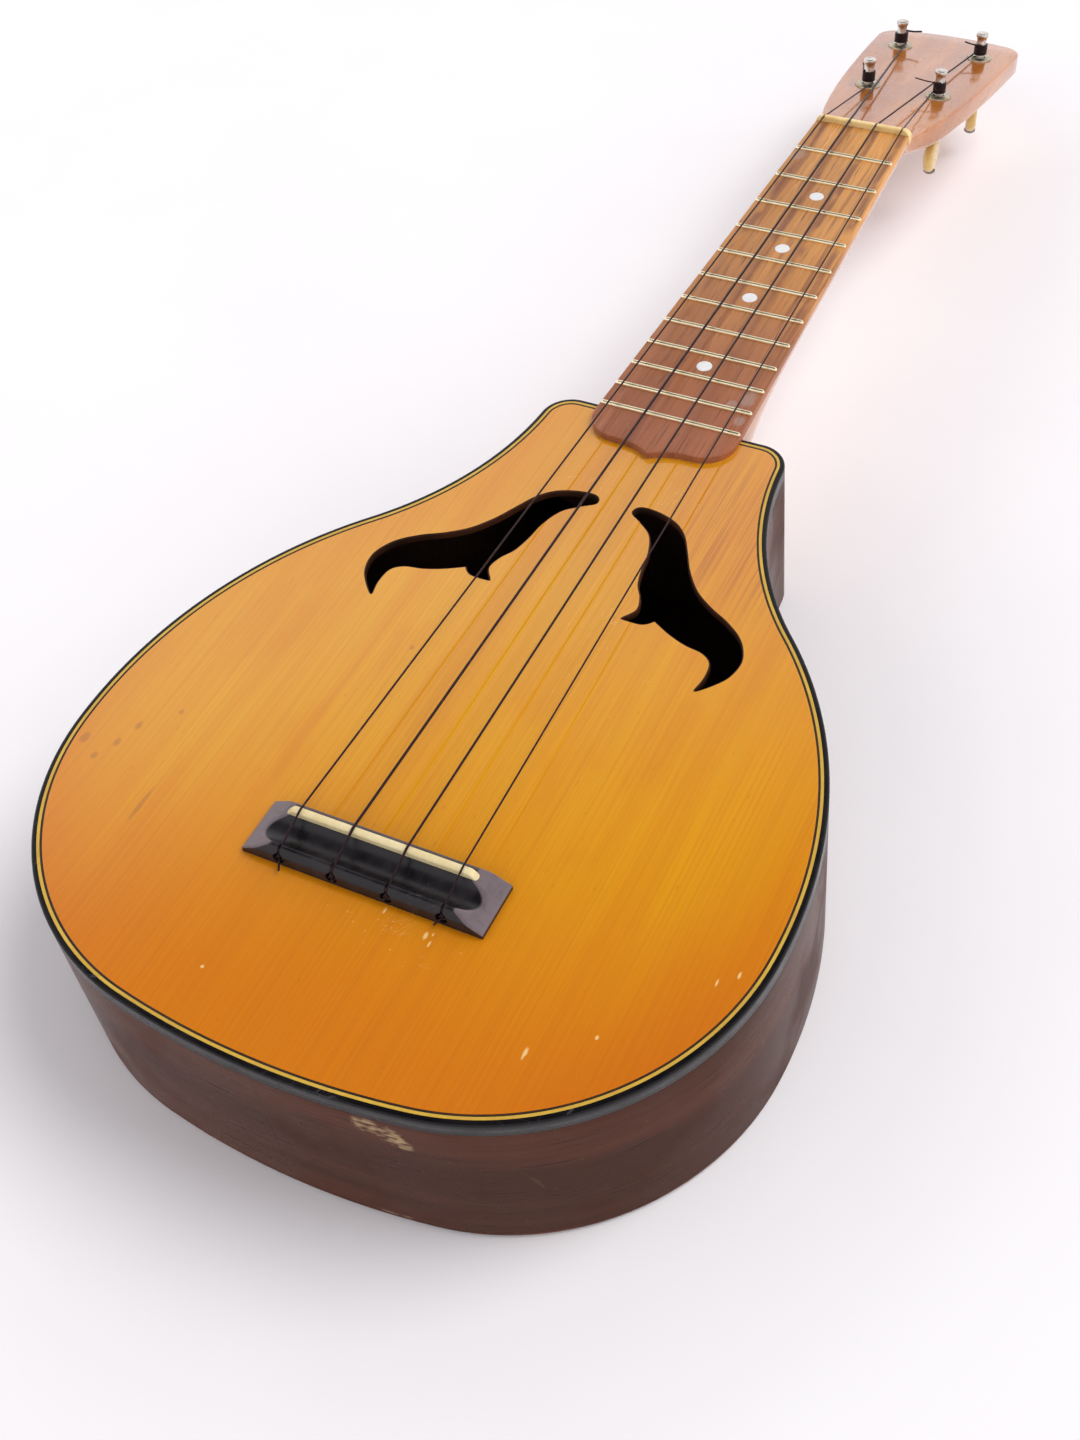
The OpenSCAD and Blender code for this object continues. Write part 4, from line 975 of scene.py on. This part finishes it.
# A fret: a domed bar whose crown is half an ellipse, and whose height and width both fall as the root of
# 1 - t^2 over the last stretch at each end; the tang below sits in the board.
def makeFret(node):
    lo, hi = low(node), high(node)
    reach, crown = 0.9 * mm, (hi[2] - boardTop) * 0.92
    half = (hi[1] - lo[1]) / 2
    q = np.sin(np.linspace(0, np.pi / 2, 9))
    x = np.concatenate((lo[0] + reach * (1 - q[::-1]), np.linspace(lo[0] + reach, hi[0] - reach, 12)[1:-1],
                        hi[0] - reach * (1 - q)))
    inset = np.clip(np.maximum(lo[0] + reach - x, x - hi[0] + reach) / reach, 0, 1)
    size = np.sqrt(np.maximum(1 - inset**2, 0))
    a = np.linspace(0, np.pi, 15)
    y = (lo[1] + hi[1]) / 2 + half * size[:, None] * np.cos(a)
    z = boardTop - 0.00002 + crown * size[:, None] * np.sin(a)**0.8
    shape = newShape()
    order = np.argsort(x, kind="stable")
    grid = np.stack((np.broadcast_to(x[:, None], y.shape), y, z), 2)[order]
    addGrid(shape, grid, closeCols=True)
    tang = lo[2]
    slab = np.array([(-0.25, 0), (0.25, 0), (0.25, 1), (-0.25, 1)])
    ends = np.array([lo[0] + 0.0012, hi[0] - 0.0012])
    block = np.stack([np.stack((np.full(4, e), (lo[1] + hi[1]) / 2 + slab[:, 0] * mm,
                                tang + slab[:, 1] * (boardTop - tang)), 1) for e in ends])
    index = addGrid(shape, block, closeCols=True)
    addFaces(shape, [index[0, :-1], index[1, :-1]], True)
    makePiece(node + "_wire", shape, [finish["fret"]], "instrument", [node])


makeNeck()
makeBoard()


stringSet = {"diameters": (0.55, 0.75, 0.65, 0.5), "nutPitch": 9.7, "saddlePitch": 15.1, "slotSide": 0.07,
             "nutSlot": 1.4, "tailShare": (1, 0.4, 0.4, 0.8)}
stringPlaces = np.array([-1.5, -0.5, 0.5, 1.5])


# Positions along x with extra ones at each slot's walls, so that the slots come out crisp.
def slottedX(left, right, centres, halfWidths, count):
    extra = [c + side * (h + gap) for c,
             h in zip(centres, halfWidths) for side in (-1, 1) for gap in (-0.01, 0.01)]
    bottoms = [c + h * k for c, h in zip(centres, halfWidths) for k in (-0.5, 0, 0.5)]
    return np.unique(np.concatenate((np.linspace(left, right, count), extra, bottoms)))


# A bar across the strings: crowned heights over a grid of x and y, with straight walls and flat ends.
def makeRail(name, x, y, z, floor, material, node):
    base = np.full((len(x), 1), floor)
    z = np.concatenate((base, z, base), 1)
    y = np.concatenate((y[:1], y, y[-1:]))
    grid = np.stack((np.broadcast_to(x[:, None], z.shape), np.broadcast_to(y, z.shape), z), 2) * mm
    shape = newShape()
    index = addGrid(shape, grid, closeCols=True)
    addFaces(shape, [index[0, :-1], index[-1, :-1]], True)
    makePiece(name, shape, [material], "instrument", [node], crease=42)


# Bone nut: a crowned section across the strings, carried along x, its top falling in a quarter-round at both
# ends and dipping under each string.
def makeNut():
    lo, hi = low("nut") / mm, high("nut") / mm
    centres = stringPlaces * stringSet["nutPitch"]
    widths = np.array(stringSet["diameters"]) / 2 + stringSet["slotSide"]
    x = slottedX(lo[0], hi[0], centres, widths, 60)
    ends = np.sin(np.linspace(0, np.pi / 2, 10))
    x = np.unique(np.concatenate((x, lo[0] + 2.6 * (1 - ends), hi[0] - 2.6 * (1 - ends))))
    inset = np.clip(np.maximum(lo[0] + 2.6 - x, x - hi[0] + 2.6) / 2.6, 0, 1)
    fall = 2.6 * (1 - np.sqrt(1 - inset**2))
    y = np.array([0, 0.12, 0.4, 0.9, 1.6, 2.4, 3.2, 3.8, 4.3, 4.5]) / 4.5 * (hi[1] - lo[1]) + lo[1]
    crown = np.array([0.5, 0.2, 0.05, 0, 0.05, 0.25, 0.7, 1.2, 1.8, 2.3])
    z = hi[2] - fall[:, None] - crown[None] * (1 - 0.5 * inset[:, None])
    slot = (np.abs(x[:, None] - centres) < widths).any(1)
    floor = boardTop / mm + stringSet["nutSlot"] - 0.05 - 0.19 * (y - lo[1])
    z = np.where(slot[:, None], np.minimum(z, floor[None]), z)
    makeRail("boneNut", x, y, z, lo[2], finish["bone"], "nut")


# Saddle: a thin blank with a half-round top whose ends slope down into the bridge's wings.
def makeSaddle():
    lo, hi = low("saddle") / mm, high("saddle") / mm
    half = (hi[1] - lo[1]) / 2
    t = np.linspace(0, 1, 9)
    x = np.concatenate((lo[0] + 3.4 * t**1.4, np.linspace(lo[0] + 3.4, hi[0] - 3.4, 30)[1:-1],
                        hi[0] - 3.4 * t[::-1]**1.4))
    inset = np.clip(np.maximum(lo[0] + 3.4 - x, x - hi[0] + 3.4) / 3.4, 0, 1)
    fall = 2.6 * ease(inset)
    a = np.linspace(0, np.pi, 13)
    y = (lo[1] + hi[1]) / 2 - half * np.cos(a)
    z = hi[2] - fall[:, None] - half * 0.75 * (1 - np.sin(a)**0.7)[None]
    makeRail("boneSaddle", x, y, z, lo[2], finish["saddle"], "saddle")


bridgeShape = {"wingHeight": 1.6, "wingLength": 7.5, "scoopRadius": 5, "scoopFloor": 3, "height": 5.2,
               "lip": 0.8,
               "soften": 0.13, "knotHole": 1.6, "knotHeight": 2.3}


# Bridge top: the lowest of the flat top, the round hollow, the bevels and the sloping wings, taken as a soft
# minimum so that every arris is slightly worn; the walls go straight down.
def makeBridge():
    s = bridgeShape
    lo, hi = low("bridge") / mm, high("bridge") / mm
    saddleY = (low("saddle")[1] + high("saddle")[1]) / 2 / mm
    saddleHalf = (high("saddle")[1] - low("saddle")[1]) / 2 / mm
    centres = stringPlaces * stringSet["saddlePitch"]
    widths = np.array(stringSet["diameters"]) / 2 + 0.08
    edge = np.array([0, 0.08, 0.22, 0.45, 0.8])
    x = slottedX(lo[0] + 1, hi[0] - 1, centres, widths, 90)
    x = np.unique(np.concatenate((lo[0] + edge, x, hi[0] - edge)))
    y = np.unique(np.concatenate((lo[1] + edge, np.linspace(lo[1] + 1, hi[1] - 1, 40), hi[1] - edge)))
    half = np.sqrt(s["scoopRadius"]**2 - (s["scoopRadius"] + s["scoopFloor"] - s["height"])**2)
    middle = saddleY - saddleHalf - 0.2 - half
    inside = np.maximum(s["scoopRadius"]**2 - (y - middle)**2, 0)
    scoop = np.where(np.abs(y - middle) < s["scoopRadius"],
                     s["scoopRadius"] + s["scoopFloor"] - np.sqrt(inside), 9)
    front = s["height"] - 1 + (hi[1] - y) * 1.25
    rear = s["height"] - 2 + (y - lo[1]) * 1.33
    climb = (s["height"] + 0.2 - s["wingHeight"]) / s["wingLength"]
    wings = s["wingHeight"] + climb * np.minimum(x - lo[0], hi[0] - x)
    flats = [np.full((len(x), len(y)), s["height"]), np.broadcast_to(scoop, (len(x), len(y))),
             np.broadcast_to(front, (len(x), len(y))), np.broadcast_to(rear, (len(x), len(y))),
             np.broadcast_to(wings[:, None], (len(x), len(y)))]
    soft = s["soften"]
    z = -soft * np.log(sum(np.exp(-f / soft) for f in flats))
    ridge = s["height"] - 1
    slot = (np.abs(x[:, None] - centres) < widths).any(1)[:, None] & (y < lo[1] + 4)[None]
    z = np.where(slot, np.minimum(z, np.where(y < lo[1] + 1.4, s["knotHeight"], ridge)[None]), z)
    worn = np.minimum(np.minimum(x[:, None] - lo[0], hi[0] - x[:, None]),
                      np.minimum(y - lo[1], hi[1] - y)[None])
    z = z - 0.25 * np.maximum(0, 1 - worn / 0.45)**2
    top = np.stack((np.broadcast_to(x[:, None], z.shape), np.broadcast_to(y, z.shape), topMm + z), 2) * mm
    shape = newShape()
    index = addGrid(shape, top)
    border = np.concatenate((index[:, 0], index[-1, 1:], index[::-1, -1][1:], index[0, ::-1][1:-1]))
    rim = np.concatenate((top[:, 0], top[-1, 1:], top[::-1, -1][1:], top[0, ::-1][1:-1]))
    foot = rim.copy()
    foot[:, 2] = topZ
    walls = addGrid(shape, np.stack((rim, foot)), closeCols=True)
    addFaces(shape, [walls[1, :-1]], True)
    bridge = makePiece("ebonisedBridge", shape, [finish["bridge"]], "instrument",
                       ["bridge"], crease=30)
    cutter = newShape()
    a = np.linspace(0, 2 * np.pi, 24, endpoint=False)
    for centre in centres:
        rings = np.stack([np.stack((centre + s["knotHole"] * np.cos(a), np.full(24, yy),
                                    topMm + s["knotHeight"] + s["knotHole"] * np.sin(a)), 1)
                          for yy in (lo[1] - 1, lo[1] + 2.6)]) * mm
        ring = addGrid(cutter, rings, closeCols=True)
        addFaces(cutter, [ring[0, :-1], ring[1, :-1]], True)
    cutAway(bridge, cutter)


# Takes one shape out of a finished piece.
def cutAway(piece, shape):
    mesh = bpy.data.meshes.new("cutter")
    mesh.from_pydata(np.vstack(shape["points"]), [], shape["faces"])
    work = bmesh.new()
    work.from_mesh(mesh)
    bmesh.ops.remove_doubles(work, verts=work.verts, dist=1e-6)
    bmesh.ops.recalc_face_normals(work, faces=work.faces)
    work.to_mesh(mesh)
    work.free()
    cutter = addObject("cutter", mesh)
    modifier = piece.modifiers.new("cut", "BOOLEAN")
    modifier.operation, modifier.solver, modifier.object = "DIFFERENCE", "EXACT", cutter
    seen = piece.evaluated_get(bpy.context.evaluated_depsgraph_get())
    cut = bpy.data.meshes.new_from_object(seen)
    piece.modifiers.remove(modifier)
    piece.data = cut
    cut.set_sharp_from_angle(angle=np.radians(30))
    bpy.data.objects.remove(cutter)


makeNut()
makeSaddle()
makeBridge()
print("nut, saddle and bridge ready")


pegShape = {"barrel": 1.9, "shaft": 2.5, "postHeight": 10, "woundHeight": 4.8, "flange": 4.7,
            "flangeThick": 1,
            "sleeve": 3.6, "sleeveLength": 6, "washerThick": 1, "buttonWidth": 15, "buttonHeight": 12.8,
            "buttonThick": 4.4, "stem": 6.8, "turns": (35, -20, -75, -84), "tailTurns": (200, 90, -90, -90),
            "tails": (6, 7.5, 6, 9.2)}


# A peg's own place: across, up the head and out of its face, from the joint's point along its axis.
def pegPlace(number, turn=0.0):
    joint = joints[f"peg_{number}_turn"]
    origin, out = np.array(joint["pos_m"]), np.array(joint["axis"])
    across = np.array([1.0, 0, 0])
    up = np.cross(out, across)
    c, s = np.cos(np.radians(turn)), np.sin(np.radians(turn))
    axes = np.stack((c * across + s * up, -s * across + c * up, out))
    return lambda points: origin + points @ axes


def makePeg(number):
    p, place = pegShape, pegPlace(number)
    body = f"peg_{number}"
    back = -neckShape["headThick"] - p["washerThick"] - 0.1
    cap = p["barrel"] + 0.4
    a = np.linspace(0, np.pi / 2, 5)
    capRound = 0.45
    postTop = p["postHeight"]
    crown = [(0, postTop)] + [(cap - capRound + capRound * np.sin(t),
                               postTop - capRound + capRound * np.cos(t)) for t in a]
    shape = newShape()
    addLathe(shape, crown + [(cap, p["postHeight"] - 1.3), (cap - 0.1, p["postHeight"] - 1.45),
                             (p["barrel"], p["postHeight"] - 1.8),
                             (p["barrel"] - 0.12, p["postHeight"] - 3.2),
                             (p["barrel"], p["postHeight"] - 4.4), (p["barrel"], 1.1), (p["shaft"], 1.0),
                             (p["shaft"], back + 0.05), (p["barrel"], back + 0.05),
                             (p["barrel"], back - p["stem"] - 2), (0, back - p["stem"] - 2)], place)
    makePiece(f"peg{number}Post", shape, [finish["nickel"]], body, [f"peg_post_{number}"])
    oval = back - p["stem"] - p["buttonHeight"] / 2
    foot = oval - p["buttonHeight"] / 2 + 0.4
    turned = pegPlace(number, p["turns"][number - 1])
    shape = newShape()
    addLathe(shape, [(0, back), (3.6, back), (3.85, back - 0.2), (3.9, back - 1.3), (3.55, back - 2.1),
                     (3.15, back - 3.2),
                     (2.85, back - 4.4), (2.7, back - p["stem"] + 1), (2.55, back - p["stem"] - 1),
                     (2.3, back - p["stem"] - 1.8), (0, back - p["stem"] - 2.4)], turned, count=40)
    addPad(shape, oval, foot, turned)
    makePiece(f"peg{number}Button", shape, [finish["button"]], body,
              [f"peg_button_{number}"], crease=60)
    makeWinding(number, place, body)
    coverNode(f"peg_screw_{number}", finish["steel"])


# The button's oval: a superellipsoid, where both round angles are taken to a power below one, so that the
# faces are nearly flat and the rim is full; each face is dished for the thumb and the foot is cut flat.
def addPad(shape, oval, foot, place):
    p = pegShape
    around = np.linspace(0, 2 * np.pi, 64, endpoint=False)[None]
    over = np.linspace(-np.pi / 2, np.pi / 2, 25)[:, None]
    reach = np.cos(over)**0.42
    thick = np.sign(np.sin(over)) * np.abs(np.sin(over))**0.75
    thick = thick * (1 - 0.16 * np.exp(-(reach / 0.55)**2))
    a = p["buttonWidth"] / 2 * reach * np.cos(around)
    n = oval + p["buttonHeight"] / 2 * reach * np.sin(around)
    b = p["buttonThick"] / 2 * np.broadcast_to(thick, a.shape)
    addGrid(shape, place(np.stack((a, b, np.maximum(n, foot)), 2) * mm), closeCols=True)


# The wound string: a helix on the barrel with a slightly uneven pitch, then a cut end that stands off it.
def makeWinding(number, place, body):
    p = pegShape
    r = stringSet["diameters"][number - 1] / 2
    turns = int((p["woundHeight"] - 2 * r) / (1.94 * r))
    t = np.linspace(0, turns, 28 * turns)
    radius = p["barrel"] + r + 0.02 * np.sin(t * 2.3)
    angle = np.pi * 0.2 + 2 * np.pi * t
    height = 1.3 + r + t * 1.94 * r + 0.06 * r * np.sin(t * 5.1)
    path = np.stack((radius * np.cos(angle), radius * np.sin(angle), height), 1)
    shape = newShape()
    upward = place(np.array([0, 0, 1.0])) - place(np.zeros(3))
    addTube(shape, place(path * mm), r * mm, hint=upward, sides=10)
    turnBy = np.radians(p["tailTurns"][number - 1])
    c, s = np.cos(turnBy), np.sin(turnBy)
    ends = np.array([(p["barrel"] + r, 1.2, height[-1] + 0.2),
                     (p["barrel"] + r + 0.05, -0.6, height[-1] + 0.25),
                     (p["barrel"] + 0.15, -p["tails"][number - 1] * 0.55, height[-1] + 0.35),
                     (p["barrel"] + 0.3, -p["tails"][number - 1], 1.3 + turns * 1.94 * r + 1.2)])
    ends[:, :2] = np.stack((c * ends[:, 0] - s * ends[:, 1], s * ends[:, 0] + c * ends[:, 1]), 1)
    addTube(shape, place(smoothCurve(ends, 8) * mm), r * 0.94 * mm, hint=upward, sides=10)
    makePiece(f"peg{number}Winding", shape, [finish["string"]], body,
              [f"winding_{number}"], crease=80)


# Flanged collars in the head's face, all on one node: a domed flange with a raised lip round the shaft.
def makeCollars():
    p = pegShape
    bore = p["shaft"] + 0.06
    a = np.linspace(0, np.pi / 2, 6)
    dome = [(p["flange"] - 1.9 + 1.9 * np.sin(t), 0.35 + 0.5 * np.cos(t)) for t in a]
    profile = [(bore, -p["sleeveLength"]), (p["sleeve"], -p["sleeveLength"]), (p["sleeve"], 0),
               (p["flange"], 0),
               *dome[::-1], (bore + 0.45, 0.86), (bore + 0.35, p["flangeThick"]), (bore, p["flangeThick"]),
               (bore, -p["sleeveLength"])]
    shape = newShape()
    for number in range(1, 5):
        addLathe(shape, profile, pegPlace(number))
    makePiece("flangedCollars", shape, [finish["brass"]], "instrument", ["peg_collars"])
    coverNode("peg_washers", finish["brass"])


# An overhand knot: a (2, 3) torus knot, drawn out a little across the strings.
def knotPath(centre, size):
    t = np.linspace(0, 2 * np.pi, 72, endpoint=False)
    ring = 1 + 0.46 * np.cos(3 * t)
    return centre + size * np.stack((ring * np.cos(2 * t), 0.46 * 1.2 * np.sin(3 * t),
                                     ring * np.sin(2 * t)), 1)


def headPoint(x, s, n):
    return np.array([x, scaleLength + s * np.cos(tilt) + n * np.sin(tilt),
                     topMm - s * np.sin(tilt) + n * np.cos(tilt)])


# A string: cut end, knot behind the bridge, up over the ridge, across saddle and nut, and on to where it
# meets its winding: from the nut's slot to the tangent on the post's inner side.
def makeString(number):
    r = stringSet["diameters"][number - 1] / 2
    k = stringPlaces[number - 1]
    rear = low("bridge")[1] / mm
    ridge = topMm + bridgeShape["height"] - 1
    saddle = (low("saddle") + high("saddle")) / 2 / mm
    x = k * stringSet["saddlePitch"]
    bend = np.array([x, rear + 1.4 - r - 0.08, ridge + r + 0.05])
    knot = np.array([x, bend[1], topMm + bridgeShape["knotHeight"]])
    atNut = np.array([k * stringSet["nutPitch"], scaleLength,
                      boardTop / mm + stringSet["nutSlot"] + r + 0.04])
    joint = joints[f"peg_{number}_turn"]["pos_m"]
    post = np.array([joint[0] / mm, (joint[1] / mm - scaleLength) / np.cos(tilt)])
    way = post - (atNut[0], 0)
    far, coil = np.linalg.norm(way), pegShape["barrel"] + r + 0.02
    turn = np.sign(post[0]) * np.arcsin(coil / far)
    run = (np.sqrt(far**2 - coil**2) - 1.05) / far
    meet = np.array([atNut[0], 0]) + run * np.array([way[0] * np.cos(turn) - way[1] * np.sin(turn),
                                                    way[0] * np.sin(turn) + way[1] * np.cos(turn)])
    end = headPoint(meet[0], meet[1], 1.3 + r)
    tail = knot + np.array([1.4 if number < 3 else -1.4, -3.4, -0.9]) * stringSet["tailShare"][number - 1]
    over = np.array([x, saddle[1], high("saddle")[2] / mm + r + 0.05])
    slide = np.array([x, rear + 2.5, bend[2]])
    path = roundCorners([tail, knot + (0, -0.5, -0.2), knot, knot + (0, 0, 1.3), bend, slide, over, atNut,
                         end], 0.9)
    shape = newShape()
    addTube(shape, path * mm, r * mm, sides=12)
    knotted = knotPath(knot + (0, -0.2, 0), 0.62) * mm
    bow = np.roll(knotted, 1, 0) + np.roll(knotted, -1, 0) - 2 * knotted
    closed = np.vstack((knotted, knotted[:2]))
    addTube(shape, closed, min(r, 0.36) * mm, hint=np.vstack((bow, bow[:2])), sides=8)
    makePiece(f"string{number}Line", shape, [finish["string"]], "instrument",
              [f"string_{number}"], crease=80)


for pegNumber in range(1, 5):
    makePeg(pegNumber)
    makeString(pegNumber)
makeCollars()
print("pegs and strings ready")


# Parts inside the body; they take the dark inside finish, painted shade.
innerNodes = ["neck_block", "tail_block", "lining_top_bass", "lining_top_treble", "lining_back_bass",
              "lining_back_treble", "top_brace_upper", "top_brace_lower", "back_brace_upper",
              "back_brace_lower",
              "bridge_plate"]
for node in innerNodes:
    coverNode(node, finish["inner"])


def floorPaper(tree, vector):
    cloud = noise(tree, vector, 9.0, 4.0, 0.55)
    fibre = noise(tree, vector, 900.0, 2.0)
    colour = tint(tree, spread(tree, cloud, 0.3, 0.7), (0.93, 0.905, 0.92), (0.95, 0.93, 0.94))
    return {"Base Color": colour, "Roughness": 0.85, "Height": fibre}


def makeFloor():
    shape = newShape()
    span = np.linspace(-4, 4, 9)
    x, y = np.meshgrid(span, span)
    addGrid(shape, np.stack((x, y, np.full_like(x, cadBox[0][2] - 0.0004)), 2))
    mesh = bpy.data.meshes.new("paleFloor")
    mesh.from_pydata(np.vstack(shape["points"]), [], [face[::-1] for face in shape["faces"]])
    floor = addObject("paleFloor", mesh)
    mesh.materials.append(makeMaterial("floorPaper", floorPaper, bumpDistance=0.00005))


keyLight = {"from": (0.80, 0.55, 1.45), "spread": 34.0, "strength": 1.6}
roomLight = {"tone": (0.98, 0.965, 1.0), "horizon": 1.17, "zenith": 0.10, "fadeFrom": 0.68, "fadeTo": 0.82}


def makeLight():
    data = bpy.data.lights.new("softKey", "SUN")
    data.energy = keyLight["strength"]
    data.angle = np.radians(keyLight["spread"])
    lamp = addObject("softKey", data)
    lamp.rotation_euler = (-Vector(keyLight["from"])).to_track_quat("-Z", "Y").to_euler()
    lamp.visible_glossy = False


# An even pale room, bright to well above the horizon and dim overhead.
def makeWorld():
    world = bpy.data.worlds.new("softRoom")
    bpy.context.scene.world = world
    world.use_nodes = True
    tree = world.node_tree
    background = tree.nodes["Background"]
    background.inputs["Color"].default_value = (*roomLight["tone"], 1)
    height = addNode(tree, "SeparateXYZ", {0: addNode(tree, "TexCoord").outputs["Generated"]}).outputs[2]
    amount = spread(tree, height, roomLight["fadeFrom"], roomLight["fadeTo"], roomLight["horizon"],
                    roomLight["zenith"])
    tree.links.new(amount, background.inputs["Strength"])
    bpy.context.scene.view_settings.view_transform = "Standard"


cameraView = {"place": (0.17929, -0.20026, 0.40056), "turn": (43.061, 4.378, 25.505), "lens": 44.388,
              "shift": (-0.0347, -0.0556)}


def makeCamera():
    data = bpy.data.cameras.new("camera")
    data.lens, data.sensor_width = cameraView["lens"], 36
    data.shift_x, data.shift_y = cameraView["shift"]
    camera = addObject("camera", data)
    camera.location = cameraView["place"]
    camera.rotation_euler = np.radians(cameraView["turn"])
    bpy.context.scene.camera = camera


makeFloor()
makeLight()
makeWorld()
makeCamera()

print("scene ready")
